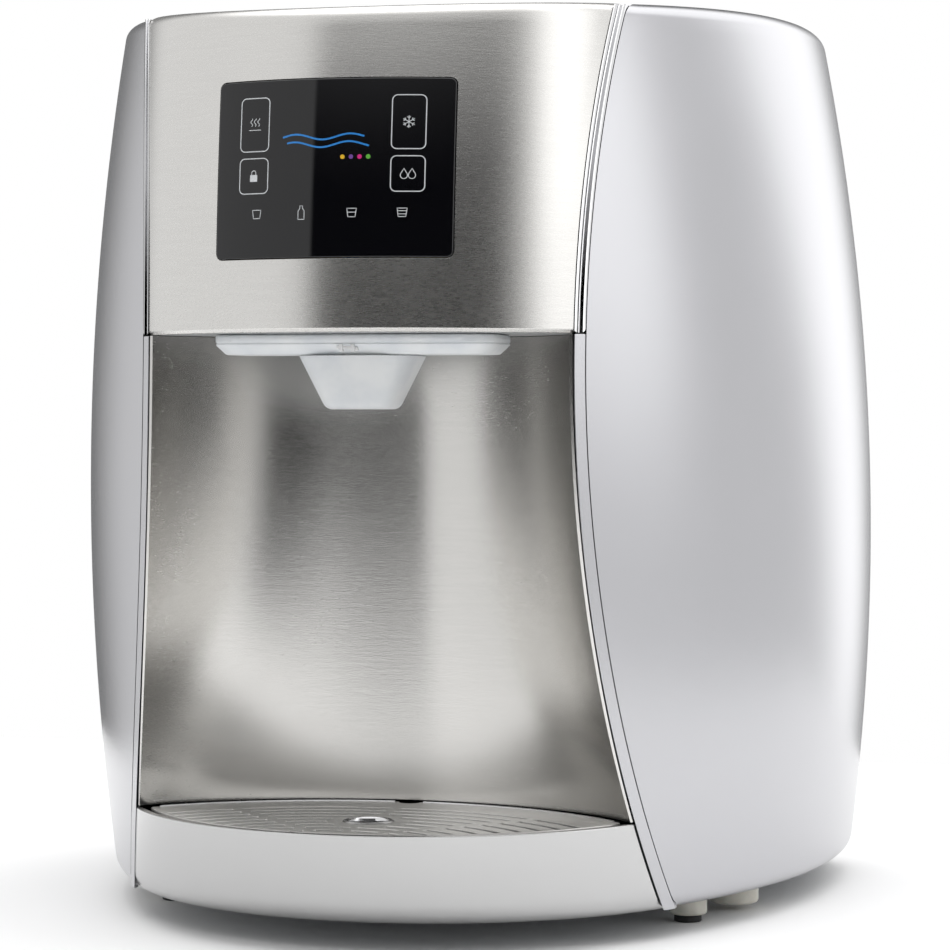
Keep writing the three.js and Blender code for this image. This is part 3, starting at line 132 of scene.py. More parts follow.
class Finish:
    def __init__(self, name, **constants):
        self.material = bpy.data.materials.new(name)
        self.material.use_nodes = True
        self.tree = self.material.node_tree
        self.shader = self.tree.nodes["Principled BSDF"]
        self.set(**constants)

    def set(self, **values):
        """Sets the shader's sockets: base_color=..., coat_weight=... and so on."""
        for key, value in values.items():
            words = [w if w in ("IOR",) else w.capitalize() for w in key.split("_")]
            socket = self.shader.inputs[" ".join(words)]
            self.fill(socket, value)

    def fill(self, socket, value):
        if isinstance(value, Wire):
            self.tree.links.new(value.socket, socket)
        elif isinstance(value, tuple) and len(value) == 3 and len(socket.default_value) == 4:
            socket.default_value = (*value, 1.0)
        else:
            socket.default_value = value

    def node(self, kind, output=0, settings=(), stops=None, **sockets):
        """Any other node: its type, which output, its settings, a ramp's stops, its sockets."""
        made = self.tree.nodes.new(kind)
        for key, value in dict(settings).items():
            setattr(made, key, value)
        if stops:
            elements = made.color_ramp.elements
            while len(elements) < len(stops):
                elements.new(0.5)
            for element, (place, colour) in zip(elements, stops):
                element.position = place
                element.color = (*colour, 1.0)
        for key, value in sockets.items():
            self.fill(made.inputs[int(key[1:]) if key[0] == "i" and key[1:].isdigit() else key], value)
        return Wire(self.tree, made.outputs[output])

    def place(self, scale=(1.0, 1.0, 1.0)):
        """Object coordinates, stretched by scale."""
        where = self.node("ShaderNodeTexCoord", "Object")
        return self.node("ShaderNodeMapping", Vector=where, Scale=scale)

    def axes(self):
        apart = self.tree.nodes.new("ShaderNodeSeparateXYZ")
        self.fill(apart.inputs[0], self.node("ShaderNodeTexCoord", "Object"))
        return [Wire(self.tree, output) for output in apart.outputs]

    def noise(self, scale, detail=2.0, stretch=(1.0, 1.0, 1.0), rough=0.5):
        where = self.place(stretch)
        return self.node("ShaderNodeTexNoise", "Fac", Vector=where, Scale=scale, Detail=detail, Roughness=rough)

    def mix(self, factor, first, second, kind="MIX"):
        settings = {"data_type": "RGBA", "blend_type": kind}
        return self.node("ShaderNodeMix", 2, settings, i0=factor, i6=first, i7=second)

    def bump(self, height, strength, distance=0.001):
        bumped = self.node("ShaderNodeBump", Height=height, Strength=strength, Distance=distance)
        self.tree.links.new(bumped.socket, self.shader.inputs["Normal"])


def grained(name, scale, detail, dark, light, rough, swing, dent=0.0, deep=0.0004, stretch=(1.0, 1.0, 1.0), **more):
    """A plain finish: one noise mixes two tones, sets the roughness and dents the surface."""
    made = Finish(name, **more)
    grain = made.noise(scale, detail, stretch)
    made.set(base_color=made.mix(grain.ramp(0.3, 0.7), dark, light))
    made.set(roughness=rough + grain * swing)
    if dent:
        made.bump(grain, dent, deep)
    return made


# ------------------------------------------------------------------ stage
# A white table that ends a step in front of the dispenser and close behind it, in a white room. Soft
# boxes stand left, right and behind, and the room is dark round the lens and far to the left.
TABLE_LEFT, TABLE_RIGHT, TABLE_FRONT, TABLE_BACK = -0.5, 0.75, -1.6, 0.6
ROOM_BASE = 0.9


def stage_floor():
    mesh = bpy.data.meshes.new("floor")
    low, high = (TABLE_LEFT, TABLE_FRONT), (TABLE_RIGHT, TABLE_BACK)
    corners = [low, (high[0], low[1]), high, (low[0], high[1])]
    mesh.from_pydata([(x, y, 0.0) for x, y in corners], [], [(0, 1, 2, 3)])
    floor = bpy.data.objects.new("floor", mesh)
    scene.collection.objects.link(floor)
    paper = Finish("table_white", base_color=(0.9, 0.9, 0.9), roughness=0.9, specular_IOR_level=0.1)
    mesh.materials.append(paper.material)


def studio_light():
    world = bpy.data.worlds.new("studio")
    scene.world = world
    world.use_nodes = True
    tree = world.node_tree
    tree.nodes.clear()
    direction = tree.nodes.new("ShaderNodeTexCoord").outputs["Generated"]
    apart = tree.nodes.new("ShaderNodeSeparateXYZ")
    tree.links.new(direction, apart.inputs[0])
    x, y, z = [Wire(tree, output) for output in apart.outputs]
    around = x.sum("ARCTAN2", -y) * (180 / math.pi)
    above = z.sum("ARCSINE") * (180 / math.pi)

    left_fade = around.ramp(-148, -118, 0.76, 0.0) * above.ramp(30, 60, 1.0, 0.0)
    low_sky = above.ramp(40, 60, 1.0, 0.0)
    right_box = around.ramp(70, 80) * around.ramp(97, 108, 1.0, 0.0) * above.ramp(-5, 7) * low_sky
    rear_edge = (around + above * 0.8).ramp(134, 154) * around.ramp(160, 176, 1.0, 0.0)
    rear_box = rear_edge * above.ramp(-14, -3, 0.3, 1.0) * low_sky
    rear_dim = around.ramp(160, 176)
    lens_gap = around.ramp(-25.2, -22.8) * around.ramp(56, 78, 1.0, 0.0) * above.ramp(12, 32, 1.0, 0.0)
    overhead = above.ramp(40, 62)
    strength = (
        ROOM_BASE
        - left_fade
        + right_box * 0.85
        + rear_box * 0.85
        - rear_dim * 0.6
        - lens_gap * 0.92
        + overhead * 1.4
    )
    background = tree.nodes.new("ShaderNodeBackground")
    tree.links.new(strength.socket, background.inputs["Strength"])
    background.inputs["Color"].default_value = (1.0, 1.0, 1.0, 1.0)
    plain = tree.nodes.new("ShaderNodeBackground")
    plain.inputs["Color"].default_value = (1.0, 1.0, 1.0, 1.0)
    plain.inputs["Strength"].default_value = 1.0
    seen = tree.nodes.new("ShaderNodeLightPath")
    either = tree.nodes.new("ShaderNodeMixShader")
    tree.links.new(seen.outputs["Is Camera Ray"], either.inputs[0])
    tree.links.new(background.outputs[0], either.inputs[1])
    tree.links.new(plain.outputs[0], either.inputs[2])
    out = tree.nodes.new("ShaderNodeOutputWorld")
    tree.links.new(either.outputs[0], out.inputs["Surface"])


stage_floor()
studio_light()
# ------------------------------------------------------------------ side shells
# Two pressed shells close the housing at the sides. They are painted satin silver, curve like
# a barrel, roll over into the top and under at the foot, and meet the rear panel behind.
# Sizes are millimetres counted from the front seams' foremost point, as the housing is drawn.
TOP_Z, TOP_RADIUS, BASE_Z = 414.0, 2400.0, 13.2
BELLY_HALF_WIDTH, BELLY_Z, BARREL_RADIUS = 187.3, 175.5, 1220.0
SIDE_RADIUS, SEAM_WAIST_Y, LEAN = 330.0, 3.8, 0.037
BACK_Y, CORNER_RADIUS, REAR_RETURN = 335.0, 55.0, 8.0
SHELL_WALL, BOTTOM_ROUND, TOP_ROUND, TOP_FLANGE, GAP = 3.0, 7.0, 6.0, 14.0, 0.3
SEAM_WAIST, SEAM_WAIST_Z, SEAM_RADIUS, TRIM_WIDTH = 96.8, 255.5, 1050.0, 4.0
DRAWN_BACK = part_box("rear_panel")[1].y * 1000 - BACK_Y


def side_centre_x(z):
    return BELLY_HALF_WIDTH - (z - BELLY_Z) ** 2 / (2 * BARREL_RADIUS) - SIDE_RADIUS


waist_reach = SEAM_WAIST - side_centre_x(SEAM_WAIST_Z)
WIDEST_Y = SEAM_WAIST_Y + math.sqrt(SIDE_RADIUS**2 - waist_reach**2) + LEAN * (SEAM_WAIST_Z - BELLY_Z)


def side_centre(z):
    return side_centre_x(z), WIDEST_Y - LEAN * (z - BELLY_Z)


def seam_half_width(z):
    return SEAM_WAIST + (z - SEAM_WAIST_Z) ** 2 / (2 * SEAM_RADIUS)


def side_y(x, z, inset=0.0):
    cx, cy = side_centre(z)
    return cy - math.sqrt((SIDE_RADIUS - inset) ** 2 - (x - cx) ** 2)


def rear_corner(z):
    cx, cy = side_centre(z)
    reach = SIDE_RADIUS - CORNER_RADIUS
    y = BACK_Y - CORNER_RADIUS
    turn = math.asin((y - cy) / reach)
    return cx + reach * math.cos(turn), y, turn


def top_z(y):
    return TOP_Z - (y - WIDEST_Y) ** 2 / (2 * TOP_RADIUS)


REAR_HALF_WIDTH = rear_corner(TOP_Z)[0] - REAR_RETURN


def row_frame(point):
    """A drawn point in millimetres, as metres in the dispenser's own frame."""
    return Vector((point[0], point[1] + DRAWN_BACK, point[2])) / 1000


def finished(name, mesh, finish, node, slot_name, body="housing", crease=32, bevel=0.0, segments=2):
    """Places a mesh as a piece that stands for a CAD node: finish, smooth faces, body. The slot name is not used."""
    mesh.materials.append(finish.material)
    mesh.shade_smooth()
    mesh.set_sharp_from_angle(angle=math.radians(crease))
    piece = bpy.data.objects.new(name, mesh)
    scene.collection.objects.link(piece)
    if bevel:
        edge = piece.modifiers.new("edge", "BEVEL")
        edge.width = bevel / 1000
        edge.segments = segments
        edge.limit_method = "ANGLE"
        edge.angle_limit = math.radians(crease + 8)
        edge.harden_normals = True
    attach(piece, body)
    if node:
        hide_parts(*([node] if isinstance(node, str) else node))
    return piece


def plate_mesh(name, columns, rows, point, wall, flip=False):
    """A closed plate: point(u, v, depth) is the drawn point at column u and row v, on a face."""
    points, faces = [], []
    for depth in (0.0, wall):
        for v in range(rows + 1):
            for u in range(columns + 1):
                x, y, z = point(u, v, depth)
                points.append(row_frame((-x if flip else x, y, z)))
    layer = (columns + 1) * (rows + 1)

    def at(u, v, side):
        return side * layer + v * (columns + 1) + u

    for v in range(rows):
        for u in range(columns):
            faces.append((at(u, v, 0), at(u + 1, v, 0), at(u + 1, v + 1, 0), at(u, v + 1, 0)))
            faces.append((at(u, v, 1), at(u, v + 1, 1), at(u + 1, v + 1, 1), at(u + 1, v, 1)))
    for u in range(columns):
        faces.append((at(u, 0, 0), at(u, 0, 1), at(u + 1, 0, 1), at(u + 1, 0, 0)))
        faces.append((at(u, rows, 0), at(u + 1, rows, 0), at(u + 1, rows, 1), at(u, rows, 1)))
    for v in range(rows):
        faces.append((at(0, v, 0), at(0, v + 1, 0), at(0, v + 1, 1), at(0, v, 1)))
        faces.append((at(columns, v, 0), at(columns, v, 1), at(columns, v + 1, 1), at(columns, v + 1, 0)))
    mesh = bpy.data.meshes.new(name)
    mesh.from_pydata(points, [], faces)
    return outward(mesh)


def outward(mesh, weld=1e-6):
    """Welds a mesh and turns its faces outwards."""
    work = bmesh.new()
    work.from_mesh(mesh)
    bmesh.ops.remove_doubles(work, verts=work.verts, dist=weld)
    bmesh.ops.recalc_face_normals(work, faces=work.faces)
    work.to_mesh(mesh)
    work.free()
    return mesh


def made_mesh(work, name):
    mesh = bpy.data.meshes.new(name)
    work.to_mesh(mesh)
    work.free()
    return mesh


def loft_mesh(name, rings, tube=False, ends=True):
    """Skins rings of points in millimetres. A ring of one point is a tip, a tube closes on itself."""
    work = bmesh.new()
    made = [[work.verts.new(Vector(p) / 1000) for p in ring] for ring in rings]
    count = max(len(ring) for ring in made)
    for low, high in zip(made, [*made[1:], *(made[:1] if tube else [])]):
        for i in range(count):
            j = (i + 1) % count
            corners = [low[i % len(low)], low[j % len(low)], high[j % len(high)], high[i % len(high)]]
            corners = list(dict.fromkeys(corners))
            if len(corners) > 2:
                work.faces.new(corners)
    if ends and not tube:
        work.faces.new(made[0])
        work.faces.new(made[-1])
    return outward(made_mesh(work, name))


def heights(node):
    """The heights of a CAD node's lower and upper end, in millimetres."""
    low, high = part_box(node)
    return low.z * 1000, high.z * 1000


SIDE_COLUMNS, CORNER_COLUMNS, ROUND_ROWS, WALL_ROWS = 44, 14, 7, 60


def shell_plan(u, z, inset):
    cx, cy = side_centre(z)
    corner_x, corner_y, turn = rear_corner(z)
    if u <= SIDE_COLUMNS:
        radius = SIDE_RADIUS - inset
        start_x = seam_half_width(z) + TRIM_WIDTH / 2 + GAP
        start = -math.acos((start_x - cx) / radius)
        angle = start + (turn - start) * u / SIDE_COLUMNS
        return cx + radius * math.cos(angle), cy + radius * math.sin(angle)
    if u <= SIDE_COLUMNS + CORNER_COLUMNS:
        angle = turn + (math.pi / 2 - turn) * (u - SIDE_COLUMNS) / CORNER_COLUMNS
        radius = CORNER_RADIUS - inset
        return corner_x + radius * math.cos(angle), corner_y + radius * math.sin(angle)
    return REAR_HALF_WIDTH + GAP, BACK_Y - inset


def shell_row(v, depth, y):
    high = top_z(y)
    if v <= ROUND_ROWS:
        angle = v / ROUND_ROWS * math.pi / 2
        radius = BOTTOM_ROUND - depth
        return depth + radius * (1 - math.sin(angle)), BASE_Z + depth + radius * (1 - math.cos(angle))
    if v <= ROUND_ROWS + WALL_ROWS:
        low = BASE_Z + BOTTOM_ROUND
        return depth, low + (high - TOP_ROUND - low) * (v - ROUND_ROWS) / WALL_ROWS
    if v <= ROUND_ROWS + WALL_ROWS + ROUND_ROWS:
        angle = (v - ROUND_ROWS - WALL_ROWS) / ROUND_ROWS * math.pi / 2
        radius = TOP_ROUND - depth
        return depth + radius * (1 - math.cos(angle)), high - depth - radius * (1 - math.sin(angle))
    return TOP_FLANGE, high - depth


def shell_point(u, v, depth):
    inset, z = shell_row(v, depth, WIDEST_Y)
    place = shell_plan(u, z, inset)
    for _ in range(4):
        inset, z = shell_row(v, depth, place[1])
        place = shell_plan(u, z, inset)
    return (*place, z)


def satin_paint(name, tone, seed=0.0):
    """Satin silver paint: fine metal flake under a thin clear coat, with a faint orange peel."""
    paint = Finish(name, metallic=0.96, coat_roughness=0.22, coat_IOR=1.45)
    flake = paint.noise(9000.0, 1.0)
    drift = paint.noise(9.0, 3.0)
    low = tuple(c * 0.965 for c in tone)
    colour = paint.mix(drift.ramp(0.3, 0.7), low, tone)
    speck = tuple(min(1.0, c * 1.07) for c in tone)
    paint.set(base_color=paint.mix(flake.ramp(0.55, 0.8) * 0.5, colour, speck))
    paint.set(roughness=0.24 + (flake - 0.5) * 0.06 + (drift - 0.5) * 0.04)
    paint.set(coat_weight=0.10)
    peel = paint.noise(420.0, 2.0)
    paint.bump(flake * 0.35 + peel * 0.65, 0.045, 0.0004)
    return paint


satin_silver = satin_paint("satin_silver", (0.53, 0.53, 0.55))
columns, rows = SIDE_COLUMNS + CORNER_COLUMNS + 1, 2 * ROUND_ROWS + WALL_ROWS + 1
for side, flip in (("right", False), ("left", True)):
    shell_mesh = plate_mesh(f"{side}_side_shell_skin", columns, rows, shell_point, SHELL_WALL, flip)
    finished(f"{side}_side_shell_skin", shell_mesh, satin_silver, f"{side}_side_shell", "satin_silver")


# ------------------------------------------------------------------ front seams
# A polished channel closes each seam beside the head: two bright lips with a dark groove
# between them, rounded at the lower end. Below the head the seam is a plain painted strip.
HEAD_BOTTOM_Z, HEAD_TRIM_DEPTH, EDGE_STRIP_DEPTH, TRIM_PROUD = 264.3, 13.0, 5.0, 0.5
LIP_WIDTH, GROOVE_DEPTH, LIP_ROWS = 1.15, 1.6, 60

chrome = Finish("polished_chrome", base_color=(0.80, 0.80, 0.81), metallic=1.0)
chrome_wear = chrome.noise(55.0, 4.0)
chrome.set(roughness=0.09 + chrome_wear.ramp(0.45, 0.75) * 0.08)
chrome.bump(chrome.noise(700.0, 2.0), 0.02, 0.0002)


def seam_point(offset, part, back, low, high_end=None):
    """A drawn point beside the right seam line, at a part of the way up from low to high_end."""
    z = low
    for _ in range(5):
        x = seam_half_width(z) + offset
        y = side_y(x, z)
        high = top_z(y) - 0.5 if high_end is None else high_end
        z = low + (high - low) * part
    x = seam_half_width(z) + offset
    return x, side_y(x, z) + back, z


def trim_profile(u):
    """Across the channel: offset from the seam's middle and how far back, lip to lip."""
    half = TRIM_WIDTH / 2
    inner = half - LIP_WIDTH
    lip = [(half, 1.0), (half, -0.1), (half - 0.25, -TRIM_PROUD), (half - 0.9, -TRIM_PROUD), (inner, -0.15)]
    across = [*lip, (inner, GROOVE_DEPTH), (-inner, GROOVE_DEPTH), *[(-o, b) for o, b in reversed(lip)]]
    return across[u]


def trim_point(u, v, depth):
    offset, back = trim_profile(u)
    half = TRIM_WIDTH / 2
    round_end = (half - math.sqrt(max(0.0, half * half - offset * offset))) * 0.9
    low = HEAD_BOTTOM_Z + round_end
    return seam_point(offset, v / LIP_ROWS, depth or back, low)


def strip_point(u, v, depth):
    offset = (u - 0.5) * TRIM_WIDTH
    return seam_point(offset, v / LIP_ROWS, depth, BASE_Z, HEAD_BOTTOM_Z - GAP)


for side, flip in (("right", False), ("left", True)):
    trim = plate_mesh(f"{side}_head_trim_channel", 11, LIP_ROWS, trim_point, HEAD_TRIM_DEPTH, flip)
    finished(f"{side}_head_trim_channel", trim, chrome, f"{side}_head_trim", "chrome_trim", crease=25)
    strip = plate_mesh(f"{side}_edge_strip_bar", 1, LIP_ROWS, strip_point, EDGE_STRIP_DEPTH, flip)
    node = f"{side}_edge_strip"
    finished(f"{side}_edge_strip_bar", strip, satin_silver, node, "satin_silver", bevel=0.5, segments=3)


# ------------------------------------------------------------------ head panel
# A brushed warm silver sheet, rolled to a tight curve across the head and turned in at its
# lower edge and over the top. The display's window is cut into it with small round corners.
HEAD_FULLNESS, HEAD_FLANGE, HEAD_ROUND, HEM, PANEL_WALL = 1.085, 6.0, 4.0, 1.5, 2.5
HEAD_RADIUS = HEAD_FULLNESS * seam_half_width(TOP_Z)
GLASS_HALF_WIDTH, GLASS_BOTTOM_Z, GLASS_HEIGHT, GLASS_CORNER = 51.5, 295.0, 74.5, 2.5
GLASS_THICKNESS, GLASS_PROUD = 3.0, 0.6
OUTER_COLUMNS, CORNER_STEPS = 14, 4


def head_arc(z):
    x = seam_half_width(z) - TRIM_WIDTH / 2 - GAP
    return x, side_y(x, z) + math.sqrt(HEAD_RADIUS**2 - x * x)


def head_plan(part, z, inset):
    x, centre = head_arc(z)
    radius = HEAD_RADIUS - inset
    angle = math.asin(x / radius) * part
    return radius * math.sin(angle), centre - radius * math.cos(angle)


def head_front_y(x, z, inset=0.0):
    return head_arc(z)[1] - math.sqrt((HEAD_RADIUS - inset) ** 2 - x * x)


def spread(low, high, count):
    return [low + (high - low) * i / count for i in range(count + 1)]


window_x = GLASS_HALF_WIDTH + GAP
window_corner = GLASS_CORNER + GAP
inner_lines = spread(window_corner - window_x, window_x - window_corner, 26)
window_lines = [-window_x, *inner_lines, window_x]
window_low, window_high = GLASS_BOTTOM_Z - GAP, GLASS_BOTTOM_Z + GLASS_HEIGHT + GAP
head_levels = [
    *spread(HEAD_BOTTOM_Z + HEM, window_low, 8),
    *spread(window_low + window_corner, window_high - window_corner, 18),
    window_high,
]
HEAD_TOP_LEVELS, HEAD_ROUND_LEVELS = 7, 6
head_rows = 1 + len(head_levels) + HEAD_TOP_LEVELS + HEAD_ROUND_LEVELS + 1


def head_part(column, z):
    """How far across the panel a column stands, from -1 to 1. The window's columns keep x."""
    edge = math.asin(head_arc(z)[0] / HEAD_RADIUS)
    side = math.asin(window_x / HEAD_RADIUS) / edge
    if column < OUTER_COLUMNS:
        return -1 + (1 - side) * column / OUTER_COLUMNS
    if column >= OUTER_COLUMNS + len(window_lines):
        return side + (1 - side) * (column - OUTER_COLUMNS - len(window_lines) + 1) / OUTER_COLUMNS
    return math.asin(window_lines[column - OUTER_COLUMNS] / HEAD_RADIUS) / edge


def head_row(v, depth, y):
    high = top_z(y)
    if v == 0:
        return HEM + depth, HEAD_BOTTOM_Z
    if v <= len(head_levels):
        return depth, head_levels[v - 1]
    wall_top = high - HEAD_ROUND
    above = v - len(head_levels)
    if above <= HEAD_TOP_LEVELS:
        return depth, window_high + (wall_top - window_high) * above / HEAD_TOP_LEVELS
    if above <= HEAD_TOP_LEVELS + HEAD_ROUND_LEVELS:
        angle = (above - HEAD_TOP_LEVELS) / HEAD_ROUND_LEVELS * math.pi / 2
        radius = HEAD_ROUND - depth
        return depth + radius * (1 - math.cos(angle)), high - depth - radius * (1 - math.sin(angle))
    return HEAD_FLANGE, high - depth


def head_point(column, v, depth):
    place = (0.0, 0.0)
    z = HEAD_BOTTOM_Z
    for _ in range(4):
        inset, z = head_row(v, depth, place[1])
        place = head_plan(head_part(column, z), z, inset)
    return (*place, z)


def head_panel_mesh():
    """The panel's two faces with the window left out, its rounded corners, and the edges."""
    work = bmesh.new()
    columns = 2 * OUTER_COLUMNS + len(window_lines) - 1
    first_row = 1 + head_levels.index(window_low)
    last_row = 1 + len(head_levels) - 1
    left, right = OUTER_COLUMNS, OUTER_COLUMNS + len(window_lines) - 1
    grids, arcs = [], []
    for depth in (0.0, PANEL_WALL):
        grid = [
            [work.verts.new(row_frame(head_point(u, v, depth))) for v in range(head_rows + 1)]
            for u in range(columns + 1)
        ]
        corners = {}
        for sx, sz, key in ((-1, -1, "ll"), (1, -1, "rl"), (1, 1, "rh"), (-1, 1, "lh")):
            x0 = sx * (window_x - window_corner)
            z0 = (window_low + window_corner) if sz < 0 else (window_high - window_corner)
            arc = []
            for i in range(1, CORNER_STEPS):
                angle = i / CORNER_STEPS * math.pi / 2
                x = x0 + sx * window_corner * math.sin(angle)
                z = z0 + sz * window_corner * math.cos(angle)
                arc.append(work.verts.new(row_frame((x, head_front_y(x, z, depth), z))))
            corners[key] = arc
        grids.append(grid)
        arcs.append(corners)
    for side, grid in enumerate(grids):
        for u in range(columns):
            for v in range(head_rows):
                inside = left <= u < right and first_row <= v < last_row
                corner = inside and u in (left, right - 1) and v in (first_row, last_row - 1)
                if corner:
                    key = ("l" if u == left else "r") + ("l" if v == first_row else "h")
                    tip = grid[u if u == left else u + 1][v if v == first_row else v + 1]
                    flat = grid[u + 1 if u == left else u][v if v == first_row else v + 1]
                    upright = grid[u if u == left else u + 1][v + 1 if v == first_row else v]
                    work.faces.new([tip, flat, *arcs[side][key], upright])
                elif not inside:
                    work.faces.new([grid[u][v], grid[u + 1][v], grid[u + 1][v + 1], grid[u][v + 1]])
    outer, inner = grids

    def wall(loop_a, loop_b, closed):
        count = len(loop_a)
        for i in range(count if closed else count - 1):
            j = (i + 1) % count
            work.faces.new([loop_a[i], loop_a[j], loop_b[j], loop_b[i]])

    def rim(grid):
        low = [grid[u][0] for u in range(columns + 1)]
        high = [grid[u][head_rows] for u in range(columns + 1)]
        right_edge = [grid[columns][v] for v in range(1, head_rows)]
        left_edge = [grid[0][v] for v in range(1, head_rows)]
        return [*low, *right_edge, *reversed(high), *reversed(left_edge)]

    def window(grid, corners):
        low = [grid[u][first_row] for u in range(left + 1, right)]
        high = [grid[u][last_row] for u in range(left + 1, right)]
        side_r = [grid[right][v] for v in range(first_row + 1, last_row)]
        side_l = [grid[left][v] for v in range(first_row + 1, last_row)]
        loop = [*low, *corners["rl"], *side_r, *reversed(corners["rh"])]
        return [*loop, *reversed(high), *corners["lh"], *reversed(side_l), *reversed(corners["ll"])]

    wall(rim(outer), rim(inner), True)
    wall(window(outer, arcs[0]), window(inner, arcs[1]), True)
    return outward(made_mesh(work, "front_panel_sheet"))


def brushed_metal(name, tone, stretch, rough=0.31, streak=1.0):
    """Rolled sheet with a fine brushed grain along one way and a faint patchy sheen."""
    metal = Finish(name, metallic=1.0)
    grain = metal.noise(2600.0, 3.0, stretch, 0.65)
    broad = metal.noise(700.0, 2.0, tuple(s**1.3 for s in stretch))
    patches = metal.noise(14.0, 3.0)
    low = tuple(c * (1 - 0.05 * streak) for c in tone)
    colour = metal.mix((grain * 0.6 + broad * 0.4).ramp(0.3, 0.7), low, tone)
    metal.set(base_color=colour)
    metal.set(roughness=rough + (grain - 0.5) * 0.10 + (patches - 0.5) * 0.06)
    metal.bump(grain * 0.7 + broad * 0.3, 0.10 * streak, 0.0003)
    return metal


head_metal = brushed_metal("head_brushed", (0.71, 0.70, 0.68), (0.12, 0.12, 1.0), 0.27)
finished("front_panel_sheet", head_panel_mesh(), head_metal, "front_panel", "brushed_silver", crease=30, bevel=0.35)


# ------------------------------------------------------------------ display glass
# One sheet of black glass, slumped to the head's curve, with a ground edge that shows as a
# thin light line. The print is on its face: outlined keys and small pictures, no lettering.
def glass_mesh():
    x_lines = [-GLASS_HALF_WIDTH, *spread(GLASS_CORNER - GLASS_HALF_WIDTH, GLASS_HALF_WIDTH - GLASS_CORNER, 40)]
    x_lines.append(GLASS_HALF_WIDTH)
    high = GLASS_BOTTOM_Z + GLASS_HEIGHT
    z_lines = [GLASS_BOTTOM_Z, *spread(GLASS_BOTTOM_Z + GLASS_CORNER, high - GLASS_CORNER, 24), high]
    last_x, last_z = len(x_lines) - 1, len(z_lines) - 1
    work = bmesh.new()
    loops = []
    for inset in (-GLASS_PROUD, GLASS_THICKNESS - GLASS_PROUD):
        spots = {}

        def spot(x, z):
            key = (round(x, 4), round(z, 4))
            if key not in spots:
                spots[key] = work.verts.new(row_frame((x, head_front_y(x, z, inset), z)))
            return spots[key]

        outline = []
        for sx, sz, start in ((1, 1, 0), (-1, 1, 1), (-1, -1, 2), (1, -1, 3)):
            cx = sx * (GLASS_HALF_WIDTH - GLASS_CORNER)
            cz = (high - GLASS_CORNER) if sz > 0 else (GLASS_BOTTOM_Z + GLASS_CORNER)
            arc = []
            for i in range(CORNER_STEPS + 1):
                angle = (start + i / CORNER_STEPS) * math.pi / 2
                arc.append(spot(cx + GLASS_CORNER * math.cos(angle), cz + GLASS_CORNER * math.sin(angle)))
            work.faces.new([spot(cx, cz), *arc])
            outline.extend(arc)
            if start == 0:
                outline.extend(spot(x, high) for x in reversed(x_lines[2:-2]))
            elif start == 1:
                outline.extend(spot(-GLASS_HALF_WIDTH, z) for z in reversed(z_lines[2:-2]))
            elif start == 2:
                outline.extend(spot(x, GLASS_BOTTOM_Z) for x in x_lines[2:-2])
            else:
                outline.extend(spot(GLASS_HALF_WIDTH, z) for z in z_lines[2:-2])
        for i in range(last_x):
            for j in range(last_z):
                if i in (0, last_x - 1) and j in (0, last_z - 1):
                    continue
                xs, zs = x_lines[i : i + 2], z_lines[j : j + 2]
                work.faces.new(
                    [spot(xs[0], zs[0]), spot(xs[1], zs[0]), spot(xs[1], zs[1]), spot(xs[0], zs[1])]
                )
        loops.append(outline)
    count = len(loops[0])
    for i in range(count):
        j = (i + 1) % count
        work.faces.new([loops[0][i], loops[0][j], loops[1][j], loops[1][i]])
    return outward(made_mesh(work, "display_glass_sheet"))


black_glass = Finish("black_glass", base_color=(0.004, 0.004, 0.005), coat_roughness=0.02)
smears = black_glass.noise(38.0, 4.0)
black_glass.set(roughness=0.035 + smears.ramp(0.5, 0.8) * 0.05)
black_glass.bump(black_glass.noise(26.0, 1.0), 0.02, 0.0006)
finished("display_glass_sheet", glass_mesh(), black_glass, "display_glass", "black_glass", crease=40, bevel=0.55)


# ------------------------------------------------------------------ display print
# The print on the glass: four outlined keys, a picture in each, four small pictures below
# them, and a blue wave with coloured dots in the middle. Each stroke is a thin raised line.
STROKE, STROKE_STEP, PRINT_LIFT = 0.42, 1.2, 0.05
KEY_X, UPPER_KEY_Z, LOWER_KEY_Z, LABEL_Z = 33.4, 351.0, 329.5, 313.5
KEY_WIDTH, UPPER_KEY_HEIGHT, LOWER_KEY_HEIGHT = 13.6, 22.4, 14.7
ICON_STROKE, WAVE_STROKE, WAVE_Z, DOT_Z, DOT_PITCH = 0.3, 0.75, 343.5, 336.6, 3.6
LABEL_X = (-31.5, -10.9, 10.9, 31.5)


def stroke_faces(path, width, closed):
    """Quads that follow a path of (x, z) points with the given width."""
    fine = []
    for i, (x, z) in enumerate(path[:-1] if not closed else path):
        x1, z1 = path[(i + 1) % len(path)]
        steps = max(1, math.ceil(math.hypot(x1 - x, z1 - z) / STROKE_STEP))
        fine += [(x + (x1 - x) * t / steps, z + (z1 - z) * t / steps) for t in range(steps)]
    path = fine if closed else [*fine, path[-1]]
    count = len(path)
    left, right = [], []
    for i, (x, z) in enumerate(path):
        before = path[i - 1] if closed or i else path[i]
        after = path[(i + 1) % count] if closed or i < count - 1 else path[i]
        dx, dz = after[0] - before[0], after[1] - before[1]
        size = math.hypot(dx, dz) or 1.0
        nx, nz = -dz / size * width / 2, dx / size * width / 2
        left.append((x + nx, z + nz))
        right.append((x - nx, z - nz))
    last = count if closed else count - 1
    return [[left[i], left[(i + 1) % count], right[(i + 1) % count], right[i]] for i in range(last)]


def arc_path(cx, cz, radius, start, end, steps=14, squash=1.0):
    angles = [math.radians(start + (end - start) * i / steps) for i in range(steps + 1)]
    return [(cx + radius * math.cos(a), cz + squash * radius * math.sin(a)) for a in angles]


def circle(x, y, radius, steps=40):
    turns = [2 * math.pi * i / steps for i in range(steps)]
    return [(x + radius * math.cos(a), y + radius * math.sin(a)) for a in turns]


